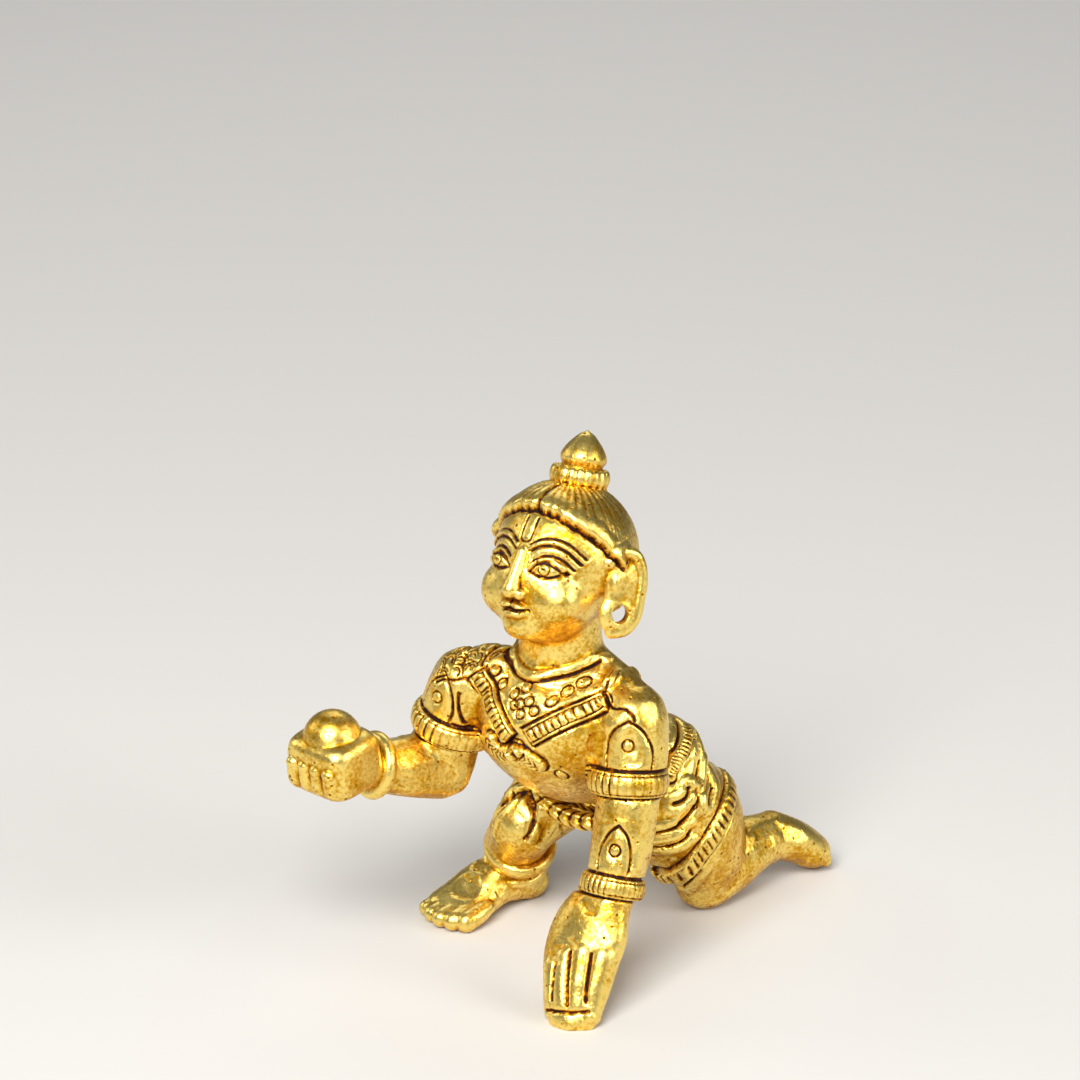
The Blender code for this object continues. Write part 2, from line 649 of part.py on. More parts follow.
def carve_folds(relief):
    """Curved folds of the cloth round both thighs. Turns are in tens of degrees."""
    left_folds = (
        ((2.2, 15.4), (4.0, 14.6), (5.6, 14.1), (7.8, 14.2), (8.9, 14.7), (9.7, 15.8)),
        ((1.6, 13.2), (2.8, 12.4), (4.1, 12.0), (5.3, 11.9), (6.3, 12.2)),
        ((9.8, 13.3), (11.5, 13.8), (13.0, 15.4)),
    )
    right_folds = (
        ((-13.5, 4.4), (-10.0, 3.4), (-7.0, 4.2)),
        ((-14.5, 7.6), (-11.0, 6.4), (-8.0, 7.4)),
    )
    legs = (
        (LEFT_KNEE, LEFT_HIP, left_folds, 1),
        (RIGHT_KNEE, RIGHT_HIP, right_folds, -1),
    )
    for knee, hip, folds, side in legs:
        x, y, z = relief.seen_from(knee, limb_turn(knee, hip))
        turn = np.degrees(np.arctan2(x, -y)) / 10
        outer = (relief.points[:, 0] * side > 1) & (np.hypot(x, y) < 10) & (z > 3)
        for path in folds:
            away, _ = along_path(turn, z, path)
            relief.height -= outer * grid(CARVING_DEPTH) * dent(away, 1.0)


def carve(skin):
    """Presses all the carving into the dressed skin."""
    relief = Relief(skin)
    carve_hair(relief)
    carve_face(relief)
    carve_sash(relief)
    carve_plaques(relief)
    carve_hand(relief)
    carve_hem(relief)
    carve_folds(relief)
    relief.press(skin)


def ear_drill(side, cutters):
    """A round cutter through one ear lobe."""
    bpy.ops.mesh.primitive_cylinder_add(vertices=20, radius=EAR_HOLE_DIAMETER / 2, depth=6 * GRID)
    drill = bpy.context.object
    drill.name = "ear_drill_left" if side > 0 else "ear_drill_right"
    across = turned(y=90)
    drill.matrix_world = Matrix.Translation(ear_lobe(side) * GRID) @ (ear_turn(side) @ across).to_4x4()
    hide_cutter(drill, cutters)


def ground(cutters):
    """A slab under the figure, with its top on the ground."""
    bpy.ops.mesh.primitive_cube_add(size=1)
    slab = bpy.context.object
    slab.name = "ground_slab"
    slab.scale = (120 * GRID, 120 * GRID, 10 * GRID)
    slab.location = (0, 25 * GRID, -5 * GRID)
    hide_cutter(slab, cutters)


def hide_cutter(cutter, cutters):
    """Keeps a cutter out of the render and in its own collection."""
    for home in list(cutter.users_collection):
        home.objects.unlink(cutter)
    cutters.objects.link(cutter)
    cutter.hide_render = True
    cutter.display_type = "WIRE"


def cut(target, cutter):
    """Takes a cutter's shape out of the target."""
    difference = target.modifiers.new("Cut by " + cutter.name, "BOOLEAN")
    difference.operation = "DIFFERENCE"
    difference.solver = "EXACT"
    difference.object = cutter


def centre_over_origin(figure, cutters):
    """Sets the figure on the ground with the middle of its box over the origin."""
    evaluated = figure.evaluated_get(bpy.context.evaluated_depsgraph_get())
    corners = [Vector(corner) for corner in evaluated.bound_box]
    shift = Vector((0, 0, 0))
    for axis in (0, 1):
        places = [corner[axis] for corner in corners]
        shift[axis] = -(min(places) + max(places)) / 2
    for piece in (figure, *cutters.objects):
        piece.location += shift


def brass():
    """Polished cast brass."""
    material = bpy.data.materials.new("Brass")
    material.use_nodes = True
    shader = material.node_tree.nodes["Principled BSDF"]
    shader.inputs["Base Color"].default_value = (0.80, 0.52, 0.11, 1.0)
    shader.inputs["Metallic"].default_value = 1.0
    shader.inputs["Roughness"].default_value = 0.32
    return material


def make_figure(figures, cutters):
    """The one solid: fused, dressed, carved, reduced, pierced at the ears and cut flat below."""
    body = fused("Body forms", make_body(), BODY_VOXEL, BODY_PASSES)
    skin = fused("Dressed forms", dress(body), DRESSED_VOXEL, DRESSED_PASSES)
    carve(skin)
    skin.transform(Matrix.Scale(GRID, 4))
    skin.materials.clear()
    skin.materials.append(brass())
    figure = bpy.data.objects.new("crawling_figure", skin)
    figures.objects.link(figure)
    reduce = figure.modifiers.new("Reduce", "DECIMATE")
    reduce.ratio = TRIANGLES / (2 * len(skin.polygons))
    for cutter in cutters.objects:
        cut(figure, cutter)
    return figure


def main():
    """Clears the scene and builds the figure and its cutters."""
    for old in list(bpy.data.objects):
        bpy.data.objects.remove(old)
    figures = bpy.data.collections.new("Crawling child with butter ball")
    bpy.context.scene.collection.children.link(figures)
    cutters = bpy.data.collections.new("Cutters")
    bpy.context.scene.collection.children.link(cutters)
    ear_drill(1, cutters)
    ear_drill(-1, cutters)
    ground(cutters)
    centre_over_origin(make_figure(figures, cutters), cutters)


main()
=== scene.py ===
"""Crawling child with a butter ball in cast brass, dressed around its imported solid.

The figure is laid down as closed forms over the solid's own landmarks, fused, softened and
carved along its skin, and finished as buffed brass with dark patina left in the carving.
"""

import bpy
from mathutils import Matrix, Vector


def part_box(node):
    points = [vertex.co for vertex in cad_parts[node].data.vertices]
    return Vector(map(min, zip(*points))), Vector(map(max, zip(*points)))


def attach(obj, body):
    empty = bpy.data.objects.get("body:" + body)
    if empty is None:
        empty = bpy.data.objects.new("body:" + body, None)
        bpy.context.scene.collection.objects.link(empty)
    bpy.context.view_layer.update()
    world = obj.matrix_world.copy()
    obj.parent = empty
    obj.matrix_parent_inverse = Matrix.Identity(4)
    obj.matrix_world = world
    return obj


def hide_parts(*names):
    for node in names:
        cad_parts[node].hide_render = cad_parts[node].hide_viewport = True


bl_info = {
    "name": "Crawling Child in Cast Brass",
    "version": (1, 0, 0),
    "blender": (4, 5, 0),
    "location": "View3D > Sidebar > Casting",
    "description": "Builds the carved brass figure, the floor, the lights and the camera",
    "category": "Object",
}

import math

import bmesh
import bpy
import numpy as np
from mathutils import Euler, Matrix, Vector

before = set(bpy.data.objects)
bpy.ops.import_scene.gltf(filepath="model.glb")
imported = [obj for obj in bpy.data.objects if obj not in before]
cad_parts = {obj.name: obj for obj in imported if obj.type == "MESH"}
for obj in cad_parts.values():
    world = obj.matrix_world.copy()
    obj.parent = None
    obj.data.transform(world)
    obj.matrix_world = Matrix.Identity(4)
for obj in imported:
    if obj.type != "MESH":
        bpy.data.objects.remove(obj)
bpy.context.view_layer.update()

NODE = "crawling_figure"

# The pose, the proportions and the carving are written in grid units of one millimetre.
GRID = 0.001
BODY_VOXEL = 0.30
BODY_PASSES = 30
SKIN_PASSES = 2
FACETS = 420
SHOULDER_HEIGHT = 41

# Landmarks of the pose in grid units. +X is the figure's left side, and it faces -Y.
HEAD = Vector((0.0, 16.8, 51.3))
HEAD_TURN = Euler((math.radians(-18), 0, 0)).to_matrix() @ Euler((0, 0, math.radians(-8))).to_matrix()
NECK = Vector((0.0, 17.6, 38.5))
CHEST = Vector((-0.4, 15.8, 31.2))
CHEST_TURN = Euler((math.radians(-12), 0, math.radians(-6))).to_matrix()
PELVIS = Vector((0.5, 30.5, 19.5))

LEFT_SHOULDER = Vector((10.3, 16.4, 33.8))
LEFT_ELBOW = Vector((11.4, 13.6, 23.5))
LEFT_WRIST = Vector((11.5, 9.8, 14.3))
LEFT_FINGERTIP = Vector((10.9, 1.4, 0.4))

RIGHT_SHOULDER = Vector((-10.8, 13.4, 35.0))
RIGHT_ELBOW = Vector((-13.9, 12.6, 23.4))
RIGHT_WRIST = Vector((-18.2, 3.2, 26.4))
FIST = Vector((-20.4, -2.0, 28.0))
FIST_TURN = Euler((math.radians(8), 0, math.radians(-12))).to_matrix()

WAIST = Vector((0.3, 24.6, 22.4))
WAIST_AXIS = Vector((0.0, 0.91, -0.415))

LEFT_HIP = Vector((5.6, 30.4, 17.2))
LEFT_KNEE = Vector((9.8, 37.4, 3.7))
LEFT_ANKLE = Vector((13.6, 47.6, 6.2))
LEFT_TOES = Vector((17.2, 53.0, 2.6))

RIGHT_HIP = Vector((-4.8, 29.0, 18.0))
RIGHT_KNEE = Vector((-7.8, 22.4, 13.2))
RIGHT_ANKLE = Vector((-11.7, 26.7, 5.0))
RIGHT_HEEL = Vector((-11.2, 28.6, 2.2))
RIGHT_TOES = Vector((-16.0, 17.1, 1.3))

X_AXIS = Vector((1, 0, 0))

# The stage, in metres and degrees.
FLOOR_RADIUS = 4.0
LIGHTS_AIM = (0, 0, 0.03)
CAMERA_AIM = Vector((0.00434, -0.01465, 0.0570))
CAMERA_AZIMUTH = 30
CAMERA_ELEVATION = 21


def linear(hex_colour):
    """A colour written as sRGB hex, as the linear values that a shader takes."""
    values = [int(hex_colour[i:i + 2], 16) / 255 for i in (1, 3, 5)]
    return tuple(v / 12.92 if v <= 0.04045 else ((v + 0.055) / 1.055) ** 2.4 for v in values)


def grid(metres):
    """A size in grid units."""
    return metres / GRID


def turned(x=0.0, y=0.0, z=0.0):
    """Rotation by degrees about X, then Y, then Z."""
    return Euler((math.radians(x), math.radians(y), math.radians(z))).to_matrix()


def in_head(x, y, z):
    """A point given from the head's centre, along the head's own axes."""
    return HEAD + HEAD_TURN @ Vector((x, y, z))


def in_fist(x, y, z):
    """A point given from the fist's centre, along the fist's own axes."""
    return FIST + FIST_TURN @ Vector((x, y, z))


def frame_along(axis):
    """Axes with Z along the given axis and X to the figure's left."""
    up = axis.normalized()
    side = (X_AXIS - up * up.dot(X_AXIS)).normalized()
    return Matrix((side, up.cross(side), up)).transposed()


def limb_turn(low, high):
    """Axes of a limb: Z up along it, X to the figure's left, -Y to the front."""
    return frame_along(high - low)


def unit_ball():
    """A ball of radius 1, made once and dropped in again for every ellipsoid."""
    if "Unit ball" not in bpy.data.meshes:
        ball = bmesh.new()
        bmesh.ops.create_uvsphere(ball, u_segments=48, v_segments=28, radius=1.0)
        mesh = bpy.data.meshes.new("Unit ball")
        ball.to_mesh(mesh)
        ball.free()
    return bpy.data.meshes["Unit ball"]


def add_ball(clay, centre, radii, turn=Matrix.Identity(3), squareness=2.0):
    """An ellipsoid, or a rounded block where squareness is over 2, with its axes turned."""
    before = len(clay.verts)
    clay.from_mesh(unit_ball())
    clay.verts.ensure_lookup_table()
    place = Matrix.Translation(centre) @ turn.to_4x4() @ Matrix.Diagonal((*radii, 1.0))
    for vertex in clay.verts[before:]:
        size = sum(abs(c) ** squareness for c in vertex.co) ** (1 / squareness)
        vertex.co = place @ (vertex.co / size)


def add_skin(clay, rows, closed=False):
    """Quads between rows of points, with capped ends, or closed into a ring of rows."""
    loops = [[clay.verts.new(point) for point in row] for row in rows]
    pairs = list(zip(loops, loops[1:]))
    if closed:
        pairs.append((loops[-1], loops[0]))
    else:
        clay.faces.new(reversed(loops[0]))
        clay.faces.new(loops[-1])
    for low, high in pairs:
        for i in range(len(low)):
            j = (i + 1) % len(low)
            clay.faces.new((low[i], low[j], high[j], high[i]))


def blend(a, b, c, d, t):
    """Catmull-Rom interpolation between b and c."""
    return 0.5 * (2 * b + (c - a) * t + (2 * a - 5 * b + 4 * c - d) * t * t + (3 * b - a - 3 * c + d) * t ** 3)


def add_limb(clay, knots, across=X_AXIS, steps=8, sides=32):
    """A rounded limb through knots of (centre, radius across, radius front to back)."""
    centres = [Vector(k[0]) for k in knots]
    radii = [Vector((k[1], k[2])) for k in knots]
    stations = []
    for i in range(len(knots) - 1):
        before = max(i - 1, 0)
        after = min(i + 2, len(knots) - 1)
        for s in range(steps):
            t = s / steps
            stations.append((
                blend(centres[before], centres[i], centres[i + 1], centres[after], t),
                blend(radii[before], radii[i], radii[i + 1], radii[after], t),
            ))
    stations.append((centres[-1], radii[-1]))
    rows = []
    last = len(stations) - 1
    for i, (centre, radius) in enumerate(stations):
        along = (stations[min(i + 1, last)][0] - stations[max(i - 1, 0)][0]).normalized()
        side = (across - along * across.dot(along)).normalized()
        front = along.cross(side)
        rounding = [(0.0, 1.0)]
        if i == 0:
            rounding = [(-math.cos(a), math.sin(a)) for a in (0.25, 0.6, 1.1, math.pi / 2)]
        elif i == last:
            rounding = [(math.cos(a), math.sin(a)) for a in (math.pi / 2, 1.1, 0.6, 0.25)]
        reach = min(radius)
        for shift, scale in rounding:
            rows.append([
                centre + along * shift * reach
                + side * radius.x * scale * math.cos(math.tau * k / sides)
                + front * radius.y * scale * math.sin(math.tau * k / sides)
                for k in range(sides)
            ])
    add_skin(clay, rows)


def add_hoop(clay, centre, axis, across, radii, thickness, width, steps=64, sides=14):
    """A band round a limb: radii of its centre line, its thickness and its width along the axis."""
    axis = axis.normalized()
    side = (across - axis * across.dot(axis)).normalized()
    front = axis.cross(side)
    rows = []
    for i in range(steps):
        turn = math.tau * i / steps
        out = side * radii[0] * math.cos(turn) + front * radii[1] * math.sin(turn)
        outward = out.normalized()
        rows.append([
            centre + out
            + outward * thickness / 2 * math.cos(math.tau * k / sides)
            + axis * width / 2 * math.sin(math.tau * k / sides)
            for k in range(sides)
        ])
    add_skin(clay, rows, closed=True)


def add_torso(clay):
    """The barrel of the body, from the neck over the chest and belly to the seat."""
    add_limb(clay, (
        (NECK, 6.2, 5.0),
        ((-0.2, 16.4, 34.6), 9.6, 6.6),
        (CHEST, 9.7, 7.7),
        ((0.0, 20.4, 26.6), 8.6, 7.2),
        ((0.4, 25.6, 23.2), 8.3, 6.3),
        (PELVIS, 9.6, 8.2),
        ((0.5, 34.0, 18.0), 8.2, 6.4),
    ))
    add_ball(clay, CHEST + Vector((0, -1.0, 1.2)), (9.2, 7.4, 6.6), CHEST_TURN)
    add_ball(clay, (-7.4, 14.6, 36.2), (4.6, 4.6, 4.0))
    add_ball(clay, (6.6, 16.6, 34.6), (5.0, 4.6, 4.0))
    add_ball(clay, (0.6, 32.4, 20.2), (8.8, 6.9, 7.2))
    add_ball(clay, (5.0, 32.4, 19.8), (6.4, 6.8, 7.2))
    add_ball(clay, (-4.0, 31.8, 19.2), (6.2, 6.8, 7.0))
    add_limb(clay, ((NECK, 5.2, 5.1), (HEAD - Vector((0, -0.8, 7.0)), 4.8, 5.0)))
    add_limb(clay, (((2.0, 18.6, 38.6), 3.4, 3.2), ((8.0, 17.4, 35.6), 3.7, 3.5)))


def add_head(clay):
    """The skull and the soft shapes of the face, calm and even."""
    add_ball(clay, in_head(0, 0.9, 1.2), (8.2, 8.4, 8.4), HEAD_TURN)
    add_ball(clay, in_head(0, -1.7, -2.4), (6.9, 6.4, 7.0), HEAD_TURN)
    add_ball(clay, in_head(0, -5.2, -7.0), (2.7, 2.2, 2.2), HEAD_TURN)
    for side in (-1, 1):
        add_ball(clay, in_head(side * 3.3, -4.2, -3.6), (3.7, 3.2, 3.5), HEAD_TURN)


def add_left_arm(clay):
    """The straight arm that props up the body, and its flat hand."""
    add_limb(clay, (
        (LEFT_SHOULDER, 4.5, 4.6),
        ((11.2, 15.4, 29.6), 4.2, 4.2),
        (LEFT_ELBOW, 3.85, 3.8),
        ((11.6, 12.2, 19.6), 3.85, 3.7),
        (LEFT_WRIST, 3.3, 3.0),
    ))
    add_limb(clay, (
        ((11.2, 9.6, 14.0), 3.1, 2.6),
        ((10.3, 7.6, 10.6), 4.9, 2.6),
        ((9.9, 5.2, 6.8), 5.0, 2.4),
        ((10.4, 3.0, 3.2), 3.9, 2.3),
        (LEFT_FINGERTIP, 3.1, 2.0),
    ))


def add_right_arm(clay):
    """The bent arm, from the shoulder to the wrist."""
    add_limb(clay, (
        (RIGHT_SHOULDER, 4.5, 4.6),
        ((-12.8, 12.8, 29.0), 4.3, 4.3),
        (RIGHT_ELBOW, 4.0, 4.0),
    ))
    add_limb(clay, (
        (RIGHT_ELBOW, 4.0, 4.0),
        ((-16.2, 7.6, 25.0), 3.8, 3.8),
        (RIGHT_WRIST, 3.1, 3.2),
    ), across=Vector((0, 0, 1)))


def add_legs(clay):
    """The kneeling left leg behind and the right leg set down flat under the body."""
    add_limb(clay, (
        (LEFT_HIP, 6.4, 7.2),
        ((8.4, 35.0, 12.4), 6.6, 7.6),
        ((9.6, 36.8, 7.4), 5.4, 6.2),
        (LEFT_KNEE, 4.1, 4.4),
    ))
    add_limb(clay, (
        (LEFT_KNEE, 4.1, 4.1),
        ((11.4, 42.0, 5.4), 4.3, 4.4),
        (LEFT_ANKLE, 3.2, 3.3),
    ))
    add_limb(clay, (
        (LEFT_ANKLE, 3.0, 3.4),
        ((15.6, 50.4, 4.8), 3.1, 2.9),
        (LEFT_TOES, 2.9, 2.4),
    ))
    add_limb(clay, (
        (RIGHT_HIP, 6.0, 6.2),
        (RIGHT_KNEE, 4.1, 4.2),
    ))
    add_limb(clay, (
        (RIGHT_KNEE, 4.2, 4.2),
        ((-10.4, 24.5, 9.0), 3.9, 3.9),
        (RIGHT_ANKLE, 3.7, 3.8),
    ))
    add_limb(clay, (
        (RIGHT_HEEL, 3.3, 2.8),
        ((-13.3, 23.8, 3.3), 3.6, 3.1),
        ((-14.8, 19.9, 2.0), 4.1, 2.3),
        (RIGHT_TOES, 4.2, 1.6),
    ))


def add_palm(clay):
    """The squared palm of the right hand, turned up."""
    add_ball(clay, in_fist(0.0, 0.7, 0.4), (4.9, 4.3, 3.8), FIST_TURN, squareness=4.6)


def make_body():
    """All the bare forms in one mesh, before they are fused."""
    clay = bmesh.new()
    add_torso(clay)
    add_head(clay)
    add_left_arm(clay)
    add_right_arm(clay)
    add_legs(clay)
    add_palm(clay)
    return clay


def add_topknot(clay):
    """The ribbed ring and the bud of hair on the crown."""
    add_limb(clay, ((in_head(0, 1.4, 8.0), 2.6, 2.6), (in_head(0, 1.7, 12.2), 2.3, 2.3)))
    ring = 3.05
    count = 20
    for i in range(count):
        turn = math.tau * i / count
        spot = in_head(ring * math.cos(turn), 1.6 + ring * math.sin(turn), 10.7)
        add_ball(clay, spot, (0.6, 0.6, 1.15), HEAD_TURN)
    add_ball(clay, in_head(0, 1.6, 10.7), (ring + 0.1, ring + 0.1, 1.0), HEAD_TURN)
    add_limb(clay, (
        (in_head(0, 1.8, 12.1), 2.5, 2.5),
        (in_head(0, 1.8, 12.8), 2.85, 2.85),
        (in_head(0, 1.8, 13.6), 2.6, 2.6),
        (in_head(0, 1.8, 14.4), 2.1, 2.1),
        (in_head(0, 1.8, 15.1), 1.5, 1.5),
        (in_head(0, 1.8, 15.7), 0.9, 0.9),
        (in_head(0, 1.8, 16.05), 0.2, 0.2),
    ))


def in_ear(side, along, z):
    """A point in the plate of an ear: along it from front to back, and up from the head's middle."""
    return in_head(side * (9.0 + 0.53 * along), 0.9 + 0.85 * along, z)


def ear_lobe(side):
    """The middle of the hole through an ear lobe."""
    return in_ear(side, 0.1, -4.2)


def ear_turn(side):
    """The axes of an ear: its flat side looks outward and a little ahead."""
    return HEAD_TURN @ turned(z=side * -32)


def add_ears(clay, sizes):
    """Broad ears with a rolled rim that runs down round the pierced lobe."""
    lobe = grid(sizes.ear_hole_diameter / 2 + sizes.ear_lobe_rim)
    for side in (-1, 1):
        rim = (
            (-2.0, 1.6), (-0.6, 2.9), (1.2, 2.7), (2.3, 0.6), (2.4, -2.0),
            (lobe, -4.4), (1.2, -6.0), (-0.5, -6.5),
        )
        add_limb(clay, [
            (in_ear(side, along, z), 0.8, 0.75) for along, z in rim
        ], across=Vector((0, 0, 1)), steps=6, sides=16)
        add_ball(clay, in_ear(side, 0.1, -1.4), (0.75, 2.2, 4.2), ear_turn(side))
        add_ball(clay, in_ear(side, -1.0, -0.6), (0.95, 0.8, 1.5), ear_turn(side))
        add_ball(clay, in_ear(side, 0.0, -4.3), (0.95, lobe + 0.15, lobe + 0.3), ear_turn(side))


def add_fingers(clay):
    """Four fingers of the right hand, closed in front of the ball, each ending in a round nail."""
    for i in range(4):
        x = -2.95 + 1.98 * i
        add_limb(clay, (
            (in_fist(x * 0.85, -0.6, -2.5), 0.85, 0.85),
            (in_fist(x, -2.9, -1.7), 0.95, 0.85),
            (in_fist(x, -3.15, 0.2), 0.98, 0.85),
            (in_fist(x, -3.0, 0.8), 0.9, 0.8),
        ), steps=5, sides=16)
        add_ball(clay, in_fist(x, -3.4, 1.1), (0.85, 0.7, 0.75), FIST_TURN)


def add_toes(clay, tips, back, size):
    """Toes side by side, each a low ridge that ends in a round tip, the big one first."""
    for i, tip in enumerate(tips):
        radius = size - 0.09 * i
        end = Vector(tip) + back * radius
        add_limb(clay, (
            (end + back * 3.4 + Vector((0, 0, 0.9)), radius * 0.7, radius * 0.7),
            (end + back * 2.0 + Vector((0, 0, 0.45)), radius * 0.9, radius * 0.9),
            (end, radius, radius),
        ), steps=4, sides=16)


def add_feet_ends(clay):
    """The toes of the right foot, and the rounded row of toes at the end of the left one."""
    back = Vector((0.35, 0.94, 0.0))
    tips = (
        (-12.9, 14.3, 1.3), (-14.5, 13.9, 1.25), (-16.2, 14.0, 1.2), (-17.8, 14.7, 1.15), (-19.3, 15.9, 1.1),
    )
    add_toes(clay, tips, back, 1.4)
    ahead = (LEFT_TOES - LEFT_ANKLE).normalized()
    across = Vector((0, 0, 1)).cross(ahead).normalized()
    for degrees in (50, 25, 0, -25, -50):
        spread = math.radians(degrees)
        spot = LEFT_TOES + ahead * 2.0 * math.cos(spread) + across * 2.2 * math.sin(spread)
        add_ball(clay, spot, (0.75, 0.75, 1.3), turned(x=18))


def add_bands(clay, sizes):
    """The collar, the armlets, the bracelets, the anklets and the cord round the waist."""
    add_hoop(clay, NECK + Vector((-0.3, -0.7, 0.6)), Vector((0.0, -0.25, 1.0)), X_AXIS, (5.5, 5.5), 1.4, 1.5)
    armlet = grid(sizes.armlet_width)
    left_arm = LEFT_SHOULDER - LEFT_ELBOW
    add_hoop(clay, LEFT_ELBOW + left_arm * 0.30, left_arm, X_AXIS, (4.05, 4.1), 1.5, armlet)
    left_fore = LEFT_ELBOW - LEFT_WRIST
    bracelet = grid(sizes.bracelet_width)
    add_hoop(clay, LEFT_WRIST + left_fore * 0.05, left_fore, X_AXIS, (3.3, 3.1), 1.2, bracelet)
    right_arm = RIGHT_SHOULDER - RIGHT_ELBOW
    add_hoop(clay, RIGHT_ELBOW + right_arm * 0.54, right_arm, X_AXIS, (4.4, 4.4), 1.9, armlet)
    right_fore = RIGHT_ELBOW - RIGHT_WRIST
    add_hoop(clay, RIGHT_WRIST + right_fore * 0.05, right_fore, X_AXIS, (3.4, 3.5), 1.4, 1.6)
    shin = RIGHT_KNEE - RIGHT_ANKLE
    anklet = grid(sizes.anklet_width)
    add_hoop(clay, RIGHT_ANKLE + shin * 0.46, shin, X_AXIS, (4.0, 4.1), 1.3, anklet)
    add_hoop(clay, RIGHT_ANKLE + shin * 0.14, shin, X_AXIS, (3.8, 4.0), 0.9, anklet * 0.6)
    add_hoop(clay, WAIST, WAIST_AXIS, X_AXIS, (8.4, 7.2), 1.9, 2.2)


def add_butter_ball(clay, sizes):
    """The ball that lies in the hand, cast in one with it."""
    radius = grid(sizes.ball_diameter) / 2
    add_ball(clay, in_fist(0, 0.8, 1.2 + 0.55 * radius), (radius, radius, radius))


def add_features(clay):
    """Eyeballs, nose and lips, on even proportions."""
    for side in (-1, 1):
        add_ball(clay, in_head(side * 3.4, -6.1, -0.15), (2.1, 1.5, 1.25), HEAD_TURN @ turned(z=side * 22))
        add_ball(clay, in_head(side * 1.05, -8.1, -3.45), (0.8, 0.9, 0.7), HEAD_TURN)
        add_ball(clay, in_head(side * 0.8, -7.5, -4.95), (1.2, 1.0, 0.5), HEAD_TURN @ turned(y=side * 12))
    add_limb(clay, (
        (in_head(0, -7.3, 1.4), 0.65, 0.7),
        (in_head(0, -8.0, -1.2), 0.8, 0.9),
        (in_head(0, -8.7, -3.1), 1.05, 1.05),
    ), across=HEAD_TURN @ X_AXIS, steps=5, sides=16)
    add_ball(clay, in_head(0, -7.35, -5.9), (1.55, 1.1, 0.65), HEAD_TURN)


def dress(body, sizes):
    """The fused body with its bands, rings and ears, not yet fused to it."""
    clay = bmesh.new()
    add_topknot(clay)
    add_ears(clay, sizes)
    add_features(clay)
    add_fingers(clay)
    add_feet_ends(clay)
    add_bands(clay, sizes)
    add_butter_ball(clay, sizes)
    clay.from_mesh(body)
    return clay


def settled(name, mesh, modifiers):
    """The mesh with modifiers applied, each given as (type, settings)."""
    carrier = bpy.data.objects.new(name, mesh)
    bpy.context.scene.collection.objects.link(carrier)
    for kind, settings in modifiers:
        modifier = carrier.modifiers.new(kind, kind)
        for key, value in settings.items():
            setattr(modifier, key, value)
    evaluated = carrier.evaluated_get(bpy.context.evaluated_depsgraph_get())
    result = bpy.data.meshes.new_from_object(evaluated)
    bpy.data.objects.remove(carrier)
    bpy.data.meshes.remove(mesh)
    result.name = name
    return result


def fused(name, clay, voxel, passes):
    """The closed forms fused into one skin and softened, in grid units."""
    source = bpy.data.meshes.new(name)
    clay.to_mesh(source)
    clay.free()
    return settled(name, source, (
        ("REMESH", {"mode": "VOXEL", "voxel_size": voxel}),
        ("SMOOTH", {"factor": 0.5, "iterations": passes}),
    ))


def ramp(value, low, high):
    """0 below low, 1 above high, and an even rise between."""
    t = np.clip((value - low) / (high - low), 0, 1)
    return t * t * (3 - 2 * t)


def dent(distance, width):
    """1 in the middle of a stroke and 0 from half its width on."""
    return np.clip(1 - (2 * distance / width) ** 2, 0, 1)


def along_path(u, v, path):
    """How far each point is from a path of (u, v) corners, and how far along it."""
    best = np.full(len(u), np.inf)
    travel = np.zeros(len(u))
    walked = 0.0
    for (u0, v0), (u1, v1) in zip(path, path[1:]):
        length = math.hypot(u1 - u0, v1 - v0)
        t = np.clip(((u - u0) * (u1 - u0) + (v - v0) * (v1 - v0)) / length ** 2, 0, 1)
        away = np.hypot(u - u0 - t * (u1 - u0), v - v0 - t * (v1 - v0))
        nearer = away < best
        best = np.where(nearer, away, best)
        travel = np.where(nearer, walked + t * length, travel)
        walked += length
    return best, travel


def curve(corners, steps=6):
    """A smooth path through the corners."""
    points = [Vector(corner) for corner in corners]
    ends = [points[0], *points, points[-1]]
    path = [
        tuple(blend(ends[i], ends[i + 1], ends[i + 2], ends[i + 3], s / steps))
        for i in range(len(points) - 1)
        for s in range(steps)
    ]
    return path + [tuple(points[-1])]


class Relief:
    """Heights and patina over a skin, gathered in grid units and then pressed into it."""

    def __init__(self, skin):
        count = len(skin.vertices)
        self.points = np.empty((count, 3), np.float32)
        skin.vertices.foreach_get("co", self.points.ravel())
        self.normals = np.empty((count, 3), np.float32)
        skin.vertex_normals.foreach_get("vector", self.normals.ravel())
        self.height = np.zeros(count)
        self.dark = np.zeros(count)

    def patch(self, origin, turn, reach):
        """The points that reach(x, y, z) picks, measured from an origin along its axes."""
        local = (self.points - np.array(origin)) @ np.array(turn)
        near = np.flatnonzero(reach(local[:, 0], local[:, 1], local[:, 2]))
        return Patch(self, near, local[near].astype(float))

    def press(self, skin):
        """Moves the skin by the gathered heights."""
        moved = self.points + self.normals * self.height[:, None]
        skin.vertices.foreach_set("co", moved.astype(np.float32).ravel())
        skin.update()


